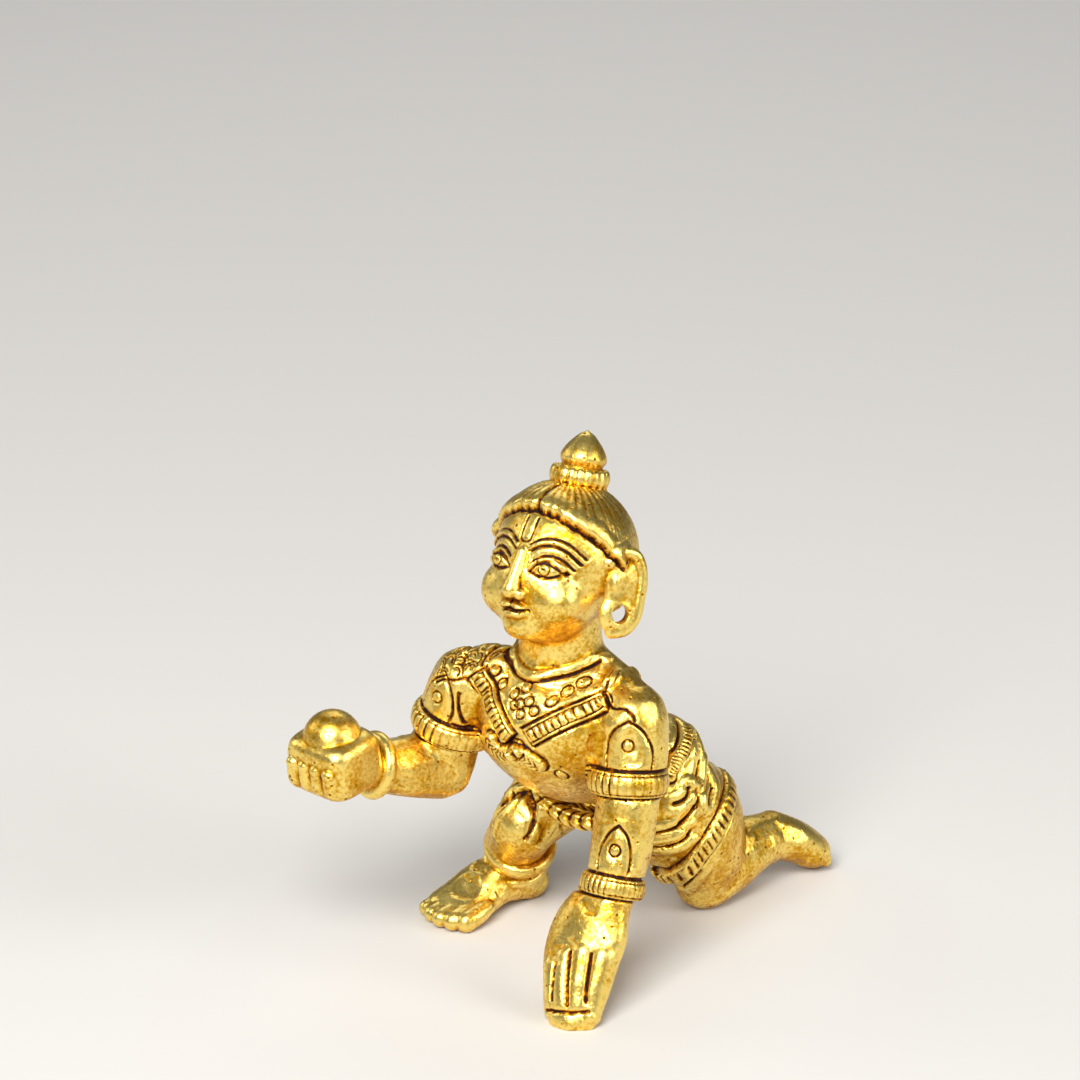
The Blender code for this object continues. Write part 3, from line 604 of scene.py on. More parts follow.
class Patch:
    """A part of the skin under the chisel, with its own axes."""

    def __init__(self, relief, near, local):
        self.relief = relief
        self.near = near
        self.x, self.y, self.z = local.T
        self.turn = np.degrees(np.arctan2(self.x, -self.y))
        self.out = np.hypot(self.x, self.y)

    def lift(self, amount):
        """Raises the points, or lowers them where the amount is negative."""
        self.relief.height[self.near] += amount

    def stain(self, amount):
        """Leaves patina on the points."""
        self.relief.dark[self.near] = np.maximum(self.relief.dark[self.near], amount)

    def groove(self, away, width, depth, where=1.0, dark=1.0):
        """A rounded stroke along a line, with patina left in it."""
        self.lift(-depth * dent(away, width) * where)
        self.stain(where * dark * dent(away, 0.95 * width))

    def stroke(self, u, v, path, width, depth, where=1.0, dark=1.0):
        """A groove along a path."""
        away, _ = along_path(u, v, path)
        self.groove(away, width, depth, where, dark)

    def ring(self, u, v, centre, radius, width, depth, where=1.0):
        """A punched ring with a domed middle."""
        out = np.hypot(u - centre[0], v - centre[1])
        self.groove(np.abs(out - radius), width, depth, where)
        self.lift(where * 0.5 * depth * dent(out, 2 * radius))

    def ribs(self, travel, spacing, height, where=1.0):
        """Rounded ribs side by side, with patina between them."""
        gap = np.abs((travel / spacing + 0.5) % 1 - 0.5) * spacing
        self.lift(where * height * (1 - (1 - 2 * gap / spacing) ** 2))
        self.stain(where * dent(gap, 0.42 * spacing))


def carve_hair(relief):
    """The cap of hair: its rolled edge from the brow to the nape, the parting and the strands."""
    hair = relief.patch(
        HEAD, HEAD_TURN,
        lambda x, y, z: (np.sqrt(x ** 2 + (y - 0.9) ** 2 + (z - 1.2) ** 2) < 9.7) & (z < 9.7) & (z > -8),
    )
    turn = np.abs(hair.turn)
    hairline = np.interp(turn, (0, 25, 55, 75, 95, 115, 180), (6.3, 6.0, 4.6, 3.2, 0.6, -3.6, -6.4))
    hairline += 0.05 * np.sign(np.sin(np.radians(turn * 30)))
    over = hair.z - hairline
    skull = ramp(-np.sqrt(hair.x ** 2 + (hair.y - 0.9) ** 2 + (hair.z - 1.2) ** 2), -9.6, -9.1)
    hair.lift(skull * (0.75 * ramp(over, 0.0, 0.6) + 0.25 * dent(over - 1.3, 2.6)))
    hair.groove(np.abs(over), 0.6, 0.4, skull)
    hair.groove(np.abs(hair.x), 0.6, 0.5, skull * (over > 0) * (hair.y < 1))
    strands = skull * ramp(hair.z, 5.2, 7.6)
    gap = np.abs((turn / 10.5) % 1 - 0.5) * np.hypot(hair.x, hair.y) * np.radians(10.5)
    hair.groove(gap, 0.45, 0.1, strands, dark=0.15)
    brushed = np.sin(np.radians(turn * 90) + 1.7 * np.sin(0.9 * hair.z)) + np.sin(np.radians(turn * 143))
    hair.lift(0.02 * brushed * skull * ramp(over, 1.6, 2.6))


def eye_line(corners):
    """A curve of an eye or brow, the same on both sides."""
    return curve(corners, 5)


def carve_face(relief):
    """Open almond eyes with lids, brows, nostrils and lips, calm and even."""
    face = relief.patch(HEAD, HEAD_TURN, lambda x, y, z: (y < -3) & (np.abs(x) < 7.4) & (z < 6.5) & (z > -9.5))
    u = np.abs(face.x)
    z = face.z
    upper = eye_line(((1.5, -0.55), (2.3, 0.35), (3.5, 0.75), (4.7, 0.4), (5.5, -0.3)))
    lower = eye_line(((1.5, -0.55), (2.5, -0.95), (3.6, -1.1), (4.7, -0.85), (5.5, -0.3)))
    crease = eye_line(((1.7, 0.6), (2.6, 1.25), (3.7, 1.5), (4.9, 1.15), (5.9, 0.2)))
    brow_low = eye_line(((1.1, 1.7), (2.3, 2.45), (3.7, 2.65), (5.1, 2.2), (6.4, 1.0)))
    brow_high = eye_line(((1.0, 2.5), (2.3, 3.3), (3.8, 3.5), (5.3, 3.0), (6.7, 1.7)))
    for path, width, depth in (
        (upper, 0.5, 0.38), (lower, 0.42, 0.3), (crease, 0.4, 0.22),
        (brow_low, 0.45, 0.3), (brow_high, 0.36, 0.2),
    ):
        face.stroke(u, z, path, width, depth)
    between, _ = along_path(u, z, [((a + c) / 2, (b + d) / 2) for (a, b), (c, d) in zip(brow_low, brow_high)])
    face.lift(0.22 * dent(between, 1.0))
    lid, _ = along_path(u, z, [((a + c) / 2, (b + d) / 2) for (a, b), (c, d) in zip(upper, crease)])
    face.lift(0.2 * dent(lid, 0.8))
    iris = (3.5, -0.12)
    out = np.hypot(u - iris[0], z - iris[1])
    face.groove(np.abs(out - 0.72), 0.24, 0.14, dark=0.75)
    face.groove(out, 0.42, 0.25, dark=0.8)
    face.groove(np.hypot(u - 0.78, z + 4.1), 0.45, 0.3, dark=0.55)
    lips = curve(((-1.95, -5.3), (-0.9, -5.5), (0, -5.38), (0.9, -5.5), (1.95, -5.3)))
    face.stroke(face.x, z, lips, 0.42, 0.4)
    face.groove(np.hypot(u - 2.0, z + 5.3), 0.6, 0.25, dark=0.7)
    face.stroke(face.x, z, ((0, -4.35), (0, -4.6)), 0.5, 0.15, dark=0.4)
    mark = curve(((-0.75, 5.6), (-0.75, 3.4), (-0.45, 2.75), (0.45, 2.75), (0.75, 3.4), (0.75, 5.6)))
    face.stroke(face.x, z, mark, 0.34, 0.2)


def garland(patch, start, end, width, rib):
    """A ribbed band between two rails, with square ends."""
    length = math.dist(start, end)
    ahead = ((end[0] - start[0]) / length, (end[1] - start[1]) / length)
    x = patch.x - start[0]
    z = patch.z - start[1]
    along = x * ahead[0] + z * ahead[1]
    across = np.abs(x * ahead[1] - z * ahead[0]) - width / 2
    outside = np.maximum(np.abs(along - length / 2) - length / 2, across)
    patch.lift(0.4 * ramp(-outside, -0.1, 0.15))
    patch.ribs(along, rib, 0.24, outside < -0.42)
    patch.groove(np.abs(across + 0.4), 0.3, 0.2, outside < 0)
    patch.groove(np.abs(outside - 0.2), 0.42, 0.45, dark=0.9)


def curl(patch, centre, radius, facing, depth=0.22):
    """A short stroke bent like a C that opens away from where it faces."""
    x = patch.x - centre[0]
    z = patch.z - centre[1]
    off = np.degrees(np.arctan2(z, x)) - facing
    bent = ramp(np.cos(np.radians(off)), -0.1, 0.5)
    patch.groove(np.abs(np.hypot(x, z) - radius), 0.28, depth, bent, dark=0.6)


def carve_chest(relief, sizes):
    """Two garlands that meet on the breast, punched rings between them, and the knot with its tails."""
    chest = relief.patch(
        CHEST, CHEST_TURN, lambda x, y, z: (y < 1.5) & (z > -6.5) & (z < 9.8) & (np.abs(x) < 10),
    )
    width = grid(sizes.sash_width)
    garland(chest, (9.0, 5.1), (2.5, -0.2), width, 0.72)
    garland(chest, (-6.55, 5.3), (-0.1, -0.95), width, 0.72)
    collar = curve(((-5.9, 9.4), (-5.1, 8.1), (-2.5, 6.4), (0.0, 5.9), (2.2, 6.4), (4.7, 7.6), (6.1, 9.0)))
    away, _ = along_path(chest.x, chest.z, collar)
    above = ramp(chest.z - np.interp(chest.x, *zip(*collar)), -0.1, 0.35)
    chest.lift(0.3 * above * ramp(-away, -1.3, -0.9))
    chest.groove(away, 0.5, 0.4)
    chest.stroke(chest.x, chest.z, curve(((-6.1, 5.9), (-6.6, 6.9), (-6.5, 8.4), (-5.9, 9.6))), 0.5, 0.4)
    rings = (
        (-4.7, 6.0), (-3.2, 4.8), (-0.7, 4.3), (0.4, 5.3), (-0.2, 3.1), (1.6, 3.9), (1.0, 2.3), (0.6, 3.4),
        (2.6, 3.0), (4.1, 4.4), (4.9, 5.6), (5.9, 6.7),
    )
    for centre in rings:
        chest.ring(chest.x, chest.z, centre, 0.6, 0.26, 0.3)
    chest.stroke(chest.x, chest.z, curve(((-6.0, 7.0), (-5.5, 7.7), (-5.3, 8.2))), 0.3, 0.2)
    chest.stroke(chest.x, chest.z, curve(((-6.0, 7.0), (-5.9, 7.8), (-5.3, 8.2))), 0.3, 0.2)
    chest.ring(chest.x, chest.z, (5.2, -4.8), 0.62, 0.28, 0.28)
    tails = (
        (curve(((0.2, -2.6), (-1.3, -3.2), (-2.4, -2.9), (-3.1, -1.9))), 1.1),
        (curve(((0.9, -2.3), (1.8, -2.6), (2.5, -3.1), (3.1, -3.5))), 1.1),
    )
    for path, half in tails:
        away, travel = along_path(chest.x, chest.z, path)
        chest.lift(0.65 * ramp(-away, -half, -half + 0.4))
        chest.groove(np.abs(away - half), 0.35, 0.25, dark=0.7)
        chest.ribs(travel + 0.8 * away, 0.62, 0.15, away < half - 0.2)
    knot = np.hypot(chest.x - 1.0, (chest.z + 1.8) * 1.15)
    chest.lift(0.55 * ramp(-knot, -1.15, -0.5))
    chest.groove(np.abs(knot - 1.1), 0.35, 0.25, dark=0.8)
    chest.groove(np.abs(chest.x - 1.0 + 0.35 * chest.z), 0.3, 0.2, knot < 0.8)


def carve_shoulders(relief):
    """Small curls on the right shoulder, and a scroll with a ribbed tick on the left one."""
    right = relief.patch(
        CHEST, CHEST_TURN, lambda x, y, z: (x < -6) & (x > -14) & (z > -5) & (z < 9.5) & (y < 1.6),
    )
    curls = (
        (-11.0, 7.2), (-8.6, 7.9), (-10.1, 6.9), (-7.2, 8.0), (-9.6, 6.0), (-8.5, 6.6), (-7.6, 6.9),
        (-10.9, 5.8), (-10.8, 4.2), (-9.3, 4.9), (-8.3, 5.6), (-7.6, 5.6), (-11.9, 5.0),
    )
    for i, centre in enumerate(curls):
        curl(right, centre, 0.62, 35 + 40 * (i % 3))
        curl(right, centre, 0.95, 35 + 40 * (i % 3), 0.14)
    ridge = curve(((-11.6, 3.2), (-10.4, 3.9), (-8.9, 4.1), (-7.9, 4.6)))
    right.stroke(right.x, right.z, ridge, 0.45, 0.35)
    armpit = curve(((-8.2, 2.6), (-8.2, 0.6), (-7.9, -1.2)))
    right.stroke(right.x, right.z, armpit, 0.5, 0.4)
    left = relief.patch(
        CHEST, CHEST_TURN, lambda x, y, z: (x > 7) & (x < 15) & (z > 2) & (z < 9.5) & (y < 4.5),
    )
    scroll = curve(((8.3, 7.0), (8.6, 6.0), (9.3, 5.2), (10.5, 4.6), (11.8, 4.8), (12.9, 4.3), (13.3, 3.6)))
    left.stroke(left.x, left.z, scroll, 0.4, 0.32)
    left.stroke(left.x, left.z, curve(((8.7, 6.2), (9.5, 5.7), (9.9, 5.2))), 0.3, 0.2)
    left.lift(0.4 * dent(np.hypot(left.x - 8.4, left.z - 7.4), 2.2))
    left.ribs(left.x + 0.3 * left.z, 0.7, 0.15, np.hypot(left.x - 8.4, left.z - 7.4) < 0.95)


def carve_limb_band(relief, low, high, foot, top, reach, rib, count_from, fade):
    """Ribs on the front of a limb's hoop that fade to plain metal, with a thin rail at both edges."""
    band = relief.patch(
        low, limb_turn(low, high),
        lambda x, y, z: (np.hypot(x, y) < reach) & (z > foot - 0.8) & (z < top + 0.8),
    )
    count = round(math.tau * count_from / rib)
    inside = ramp(band.z, foot + 0.2, foot + 0.45) * ramp(-band.z, -top + 0.2, -top + 0.45)
    ribbed = ramp(-band.turn, -fade, -fade + 35) * ramp(band.turn, -175, -140)
    gap = np.abs((band.turn / 360 * count + 0.5) % 1 - 0.5) * rib
    band.lift(inside * 0.12)
    band.groove(gap, 0.36 * rib, 0.22, inside * (0.25 + 0.75 * ribbed), dark=0.75)
    for edge in (foot, top):
        band.groove(np.abs(band.z - edge), 0.42, 0.32, dark=0.9)
    for edge in (foot + 0.55, top - 0.55):
        band.groove(np.abs(band.z - edge), 0.26, 0.12, dark=0.6)


def carve_plaques(relief):
    """Pointed leaf plaques with a punched ring on both upper arms and on the left forearm."""
    leaf = ((-1.0, 0.0), (-1.03, 0.25), (-0.86, 0.55), (-0.5, 0.82), (0.0, 1.0))
    plaques = (
        (LEFT_ELBOW, LEFT_SHOULDER, 24, 4.4, 3.2, 5.3, 10.9, 7.9),
        (LEFT_WRIST, LEFT_ELBOW, 17, 3.7, 2.3, 2.4, 7.9, 4.9),
        (RIGHT_ELBOW, RIGHT_SHOULDER, -15, 4.4, 2.4, 8.6, 13.8, 10.8),
    )
    for low, high, facing, radius, half, foot, point, ring in plaques:
        plaque = relief.patch(
            low, limb_turn(low, high),
            lambda x, y, z: (np.hypot(x, y) < 6.6) & (z > foot - 1) & (z < point + 1),
        )
        across = np.radians(plaque.turn - facing) * radius
        outline = curve([(a * half, foot + b * (point - foot)) for a, b in leaf])
        front = (np.abs(across) < half + 1) * 1.0
        plaque.stroke(np.abs(across) * -1, plaque.z, outline, 0.45, 0.38, front)
        plaque.ring(across, plaque.z, (0, ring), 0.72, 0.3, 0.3, front)


def carve_left_hand(relief):
    """Four fingers as low ridges on the back of the left hand, and the step at their tips."""
    hand = relief.patch(
        LEFT_FINGERTIP, limb_turn(LEFT_FINGERTIP, LEFT_WRIST),
        lambda x, y, z: (y < 0.4) & (np.abs(x) < 6) & (z < 12.5) & (z > -3),
    )
    fingers = (
        ((-4.2, 5.6), (-3.2, 0.6)), ((-2.6, 7.0), (-1.3, 1.5)), ((-0.4, 8.0), (0.8, 2.0)), ((2.3, 8.2), (2.9, 1.6)),
    )
    for finger in fingers:
        away, _ = along_path(hand.x, hand.z, finger)
        hand.lift(0.45 * dent(away, 2.5))
    for path in (
        ((-3.2, 6.0), (-2.4, 1.7)), ((-1.7, 7.7), (-1.2, 5.4), (-0.2, 1.6)), ((0.9, 8.2), (1.7, 2.7)),
    ):
        hand.stroke(hand.x, hand.z, path, 0.55, 0.45, dark=0.9)
    tips = ((-2.9, 0.4), (-1.9, 0.5), (0.4, 0.9), (2.3, 1.7))
    away, _ = along_path(hand.x, hand.z, tips)
    hand.groove(away, 0.5, 0.3, dark=0.45)
    low = np.interp(hand.x, *zip(*tips)) - hand.z
    hand.lift(0.15 * ramp(low, 0.2, 0.5) * ramp(-low, -2.4, -1.6))


def carve_waist(relief):
    """The twisted cord round the waist."""
    waist = relief.patch(
        WAIST, frame_along(WAIST_AXIS),
        lambda x, y, z: (np.sqrt(x * x + y * y + z * z) < 12.8) & (np.abs(z) < 3),
    )
    waist.ribs(waist.turn / 360 * 30 + 0.5 * waist.z, 1.0, 0.26, np.abs(waist.z) < 1.15)
    for edge in (-1.25, 1.25):
        waist.groove(np.abs(waist.z - edge), 0.5, 0.35, dark=0.85)


def carve_hems(relief, sizes):
    """The ribbed hem of the cloth on the left thigh, gathered in lumps at its lower end."""
    half = grid(sizes.hem_width) / 2
    hem = relief.patch(
        LEFT_KNEE, limb_turn(LEFT_KNEE, LEFT_HIP), lambda x, y, z: (np.hypot(x, y) < 10.5) & (z > 0) & (z < 20),
    )
    points = relief.points[hem.near]
    below_waist = (points - np.array(WAIST)) @ np.array(WAIST_AXIS) > 0.5
    own = (below_waist & (points[:, 0] > 0.5)) * 1.0
    slope = (0.39, 0.16)
    over = (hem.z - 6.9 - slope[0] * hem.x - slope[1] * hem.y) / math.hypot(1, *slope)
    gathered = ramp(-hem.turn, -58, -38) * ramp(hem.turn, -60, -30)
    hem.lift(own * (0.32 + 0.5 * gathered) * ramp(-np.abs(over), -half - 0.25, -half + 0.1))
    travel = np.where(hem.turn < 48, hem.turn / 14.0, hem.turn / 7.2)
    hem.ribs(travel, 1.0, 0.16 + 0.2 * gathered, own * (np.abs(over) < half - 0.3))
    for edge in (-1, 1):
        hem.groove(np.abs(over - edge * (half + 0.2)), 0.45, 0.22, own, dark=0.4)


def carve_folds(relief):
    """Curved folds of the cloth on the thighs and the seat. Turns are in tens of degrees."""
    thigh = relief.patch(
        LEFT_KNEE, limb_turn(LEFT_KNEE, LEFT_HIP), lambda x, y, z: (np.hypot(x, y) < 10.5) & (z > 0) & (z < 24),
    )
    outer = (relief.points[thigh.near][:, 0] > 1) * 1.0
    folds = (
        (((2.2, 15.4), (4.0, 14.6), (5.6, 14.1), (7.8, 14.2), (8.9, 14.7), (9.7, 15.8)), 0.65),
        (((1.6, 13.2), (2.8, 12.4), (4.1, 12.0), (5.3, 11.9), (6.3, 12.2)), 0.65),
        (((6.6, 16.9), (8.0, 16.3), (9.2, 16.8)), 0.35),
        (((9.8, 13.3), (11.5, 13.8), (13.0, 15.4)), 0.45),
        (((10.8, 16.4), (12.4, 17.0), (14.5, 18.8)), 0.45),
        (((0.6, 3.1), (2.6, 4.4), (4.9, 6.0)), 0.5),
    )
    for fold, depth in folds:
        away, _ = along_path(thigh.turn / 10, thigh.z, curve(fold))
        thigh.lift(outer * 0.3 * dent(away - 0.9, 1.6))
        thigh.groove(away, 0.6, depth, outer, dark=0.9)
    sash = curve(((8.6, 19.6), (9.5, 20.0), (12.5, 20.4), (15.9, 20.8), (17.8, 20.6)))
    away, travel = along_path(thigh.turn / 10, thigh.z, sash)
    laid = outer * ramp(-np.abs(thigh.turn), -165, -135)
    thigh.lift(laid * 0.45 * ramp(-away, -0.95, -0.6))
    thigh.ribs(travel, 0.42, 0.18, laid * (away < 0.6))
    thigh.groove(np.abs(away - 0.95), 0.4, 0.35, laid, dark=0.9)
    right = relief.patch(
        RIGHT_KNEE, limb_turn(RIGHT_KNEE, RIGHT_HIP),
        lambda x, y, z: (np.hypot(x, y) < 8) & (z > -5) & (z < 10) & (x < 4),
    )
    for fold, depth in (
        (((-5.2, -2.8), (-2.8, -1.8), (-1.8, -0.4), (-1.9, 1.2)), 0.35),
        (((-13.5, 4.4), (-10.0, 3.4), (-7.0, 4.2)), 0.4),
        (((-14.5, 7.6), (-11.0, 6.4), (-8.0, 7.4)), 0.4),
    ):
        away, _ = along_path(right.turn / 10, right.z, curve(fold))
        right.lift(0.25 * dent(away - 0.8, 1.4))
        right.groove(away, 0.5, depth * 0.8, dark=0.6)


def carve(skin, sizes):
    """Presses all the carving into the dressed skin and gives its patina."""
    relief = Relief(skin)
    carve_hair(relief)
    carve_face(relief)
    carve_chest(relief, sizes)
    carve_shoulders(relief)
    carve_plaques(relief)
    carve_left_hand(relief)
    carve_waist(relief)
    carve_hems(relief, sizes)
    carve_folds(relief)
    armlet = grid(sizes.armlet_width)
    arms = ((LEFT_ELBOW, LEFT_SHOULDER, 3.2, 5.15), (RIGHT_ELBOW, RIGHT_SHOULDER, 6.5, 5.7))
    for low, high, middle, reach in arms:
        carve_limb_band(relief, low, high, middle - armlet / 2, middle + armlet / 2, reach, 1.05, 4.8, 20)
    bracelet = grid(sizes.bracelet_width)
    carve_limb_band(relief, LEFT_WRIST, LEFT_ELBOW, 0.5 - bracelet / 2, 0.5 + bracelet / 2, 5.2, 0.8, 4.0, 25)
    relief.press(skin)
    return relief.dark


def smoothed(points, edges, passes):
    """Points moved towards the mean of their neighbours, again and again."""
    first, second = edges[:, 0], edges[:, 1]
    count = len(points)
    neighbours = np.bincount(first, minlength=count) + np.bincount(second, minlength=count)
    for _ in range(passes):
        mean = np.stack([
            np.bincount(first, points[second, axis], count) + np.bincount(second, points[first, axis], count)
            for axis in range(3)
        ], axis=1) / neighbours[:, None]
        points = (points + mean) / 2
    return points


def give_patina_and_shade(skin, dark):
    """Stores how much patina each point keeps in strokes and small hollows, with painted shade added in broad
    recesses and on the surfaces that face down.
    """
    count = len(skin.vertices)
    points = np.empty((count, 3), np.float32)
    skin.vertices.foreach_get("co", points.ravel())
    normals = np.empty((count, 3), np.float32)
    skin.vertex_normals.foreach_get("vector", normals.ravel())
    edges = np.empty((len(skin.edges), 2), np.int32)
    skin.edges.foreach_get("vertices", edges.ravel())
    close = smoothed(points.astype(float), edges, 10)
    wide = smoothed(close, edges, 70)
    fine_hollow = ((close - points) * normals).sum(1)
    wide_hollow = ((wide - close) * normals).sum(1)
    patina_and_shade = 0.85 * dark * ramp(fine_hollow, -0.04, 0.05) + 7.0 * np.clip(fine_hollow - 0.012, 0, 1)
    # Painted shade: broad recesses, such as between the legs and under the arms, are darkened.
    patina_and_shade += 1.1 * np.clip(wide_hollow - 0.04, 0, 1)
    # Painted shade: surfaces that face down are darkened towards amber.
    patina_and_shade += 0.15 * ramp(-normals[:, 2], -0.1, 0.8)
    attribute = skin.attributes.new("patina_and_shade", "FLOAT", "POINT")
    attribute.data.foreach_set("value", np.clip(patina_and_shade, 0, 1).astype(np.float32))
    polish = ramp(-fine_hollow, 0.0, 0.06)
    attribute = skin.attributes.new("polish", "FLOAT", "POINT")
    attribute.data.foreach_set("value", polish.astype(np.float32))


def make_cutters():
    """Two drills for the ear lobes and the slab under the ground, as closed meshes in one."""
    clay = bmesh.new()
    for side in (-1, 1):
        add_drill(clay, side)
    slab = bmesh.ops.create_cube(clay, size=1)["verts"]
    for vertex in slab:
        vertex.co = Vector((vertex.co.x * 120, 25 + vertex.co.y * 120, vertex.co.z * 10 - 5))
    mesh = bpy.data.meshes.new("Cutters")
    clay.to_mesh(mesh)
    clay.free()
    return mesh


def add_drill(clay, side):
    """A round cutter through one ear lobe."""
    radius = grid(bpy.context.scene.casting_sizes.ear_hole_diameter) / 2
    place = Matrix.Translation(ear_lobe(side)) @ (ear_turn(side) @ turned(y=90)).to_4x4()
    bmesh.ops.create_cone(
        clay, cap_ends=True, segments=40, radius1=radius, radius2=radius, depth=6, matrix=place,
    )


def add_node(tree, kind, sockets=None, **settings):
    """Adds a node with its settings, and links or sets its sockets."""
    node = tree.nodes.new(kind)
    for name, value in settings.items():
        setattr(node, name, value)
    for key, value in (sockets or {}).items():
        if isinstance(value, bpy.types.NodeSocket):
            tree.links.new(value, node.inputs[key])
        else:
            node.inputs[key].default_value = value
    return node


def per_metre(millimetres):
    """A pattern's scale from the size of one of its features."""
    return 1000 / millimetres


def antiqued_brass(look):
    """Sand-cast yellow brass, darkened all over and buffed back by hand.

    The eye sees warm yellow metal on the high places, amber where shade is painted on the undersides
    and in broad recesses, and a brown-black film in every stroke, with fine casting pits and short file marks.
    """
    material = bpy.data.materials.new("Antiqued buffed cast brass")
    material.use_nodes = True
    tree = material.node_tree
    shader = tree.nodes["Principled BSDF"]
    place = add_node(tree, "ShaderNodeTexCoord").outputs["Object"]
    # This attribute holds the patina in the strokes together with painted shade on the undersides and in broad
    # recesses.
    patina_and_shade = add_node(tree, "ShaderNodeAttribute", attribute_name="patina_and_shade").outputs["Fac"]
    polish = add_node(tree, "ShaderNodeAttribute", attribute_name="polish").outputs["Fac"]
    # Tarnish comes and goes over about 5 mm.
    cloud = add_node(tree, "ShaderNodeTexNoise", {
        "Vector": place, "Scale": per_metre(5.0), "Detail": 3.0, "Roughness": 0.55,
    }).outputs["Fac"]
    # The sand's grain is about 0.2 mm and is drawn at 0.45 mm, or it wouldn't show.
    grain = add_node(tree, "ShaderNodeTexNoise", {
        "Vector": place, "Scale": per_metre(0.45), "Detail": 5.0, "Roughness": 0.65,
    }).outputs["Fac"]
    # Pits stand about 1.4 mm apart and are 0.2 mm wide.
    pit_distance = add_node(tree, "ShaderNodeTexVoronoi", {
        "Vector": place, "Scale": per_metre(1.4), "Randomness": 1.0,
    }).outputs["Distance"]
    pits = add_node(tree, "ShaderNodeMapRange", {
        "Value": pit_distance, "From Min": 0.06, "From Max": 0.16, "To Min": 1.0, "To Max": 0.0,
    }).outputs["Result"]
    # File strokes are 0.15 mm apart and 4 mm long, in two directions.
    strokes = []
    for turn in ((0.3, 0.5, 0.2), (1.2, -0.4, 0.9)):
        laid = add_node(tree, "ShaderNodeMapping", {
            "Vector": place, "Rotation": turn, "Scale": (1.0, 0.06, 1.0),
        }).outputs["Vector"]
        strokes.append(add_node(tree, "ShaderNodeTexNoise", {
            "Vector": laid, "Scale": per_metre(0.28), "Detail": 2.0, "Roughness": 0.5,
        }).outputs["Fac"])
    either = add_node(tree, "ShaderNodeMapRange", {
        "Value": cloud, "From Min": 0.45, "From Max": 0.55,
    }).outputs["Result"]
    filed = add_node(tree, "ShaderNodeMix", {0: either, 2: strokes[0], 3: strokes[1]}).outputs[0]

    grained = add_node(tree, "ShaderNodeMapRange", {
        "Value": grain, "From Min": 0.3, "From Max": 0.7, "To Min": -0.14, "To Max": 0.14,
    }, clamp=False).outputs["Result"]
    clouded = add_node(tree, "ShaderNodeMapRange", {
        "Value": cloud, "From Min": 0.3, "From Max": 0.7, "To Min": -0.06, "To Max": 0.16,
    }, clamp=False).outputs["Result"]
    # The film has flaked off along the strokes in spots of about 1 mm.
    flaked = add_node(tree, "ShaderNodeTexNoise", {
        "Vector": place, "Scale": per_metre(1.0), "Detail": 4.0, "Roughness": 0.7,
    }).outputs["Fac"]
    kept = add_node(tree, "ShaderNodeMapRange", {
        "Value": flaked, "From Min": 0.36, "From Max": 0.62, "To Min": 0.35, "To Max": 1.15,
    }).outputs["Result"]
    left = add_node(tree, "ShaderNodeMath", {0: patina_and_shade, 1: kept}, operation="MULTIPLY").outputs[0]
    film_and_shade = add_node(tree, "ShaderNodeMath", {0: left, 1: grained}, operation="ADD").outputs[0]
    film_and_shade = add_node(tree, "ShaderNodeMath", {0: film_and_shade, 1: clouded}, operation="ADD").outputs[0]
    film_and_shade = add_node(tree, "ShaderNodeMath", {0: pits, 1: 0.45, 2: film_and_shade}, operation="MULTIPLY_ADD").outputs[0]
    film_and_shade = add_node(tree, "ShaderNodeMath", {0: polish, 1: -0.12, 2: film_and_shade}, operation="MULTIPLY_ADD").outputs[0]

    # Painted shade on the undersides and in broad recesses lands on the amber tones of this ramp.
    tone = add_node(tree, "ShaderNodeValToRGB", {"Fac": film_and_shade})
    stops = (
        (0.0, look.polished), (0.16, look.brass), (0.36, look.amber), (0.60, look.brown), (0.90, look.soot),
    )
    elements = tone.color_ramp.elements
    while len(elements) < len(stops):
        elements.new(0.5)
    for element, (position, colour) in zip(elements, stops):
        element.position = position
        element.color = (*colour, 1.0)
    tree.links.new(tone.outputs["Color"], shader.inputs["Base Color"])
    metal = add_node(tree, "ShaderNodeMapRange", {
        "Value": film_and_shade, "From Min": 0.35, "From Max": 0.9, "To Min": 1.0, "To Max": 0.6,
    }).outputs["Result"]
    tree.links.new(metal, shader.inputs["Metallic"])
    rough = add_node(tree, "ShaderNodeMapRange", {
        "Value": film_and_shade, "From Min": 0.0, "From Max": 0.8, "To Min": look.roughness, "To Max": 0.5,
    }).outputs["Result"]
    rough = add_node(tree, "ShaderNodeMath", {0: filed, 1: 0.16, 2: rough}, operation="MULTIPLY_ADD").outputs[0]
    tree.links.new(rough, shader.inputs["Roughness"])
    # The cast skin is lumpy over about 1.6 mm.
    lumps = add_node(tree, "ShaderNodeTexNoise", {
        "Vector": place, "Scale": per_metre(1.6), "Detail": 1.0,
    }).outputs["Fac"]
    relief = add_node(tree, "ShaderNodeMath", {0: filed, 1: 0.5, 2: grain}, operation="MULTIPLY_ADD").outputs[0]
    relief = add_node(tree, "ShaderNodeMath", {0: lumps, 1: 1.6, 2: relief}, operation="MULTIPLY_ADD").outputs[0]
    relief = add_node(tree, "ShaderNodeMath", {0: pits, 1: -1.6, 2: relief}, operation="MULTIPLY_ADD").outputs[0]
    bump = add_node(tree, "ShaderNodeBump", {"Height": relief, "Strength": 1.0, "Distance": 0.00005})
    tree.links.new(bump.outputs["Normal"], shader.inputs["Normal"])
    return material


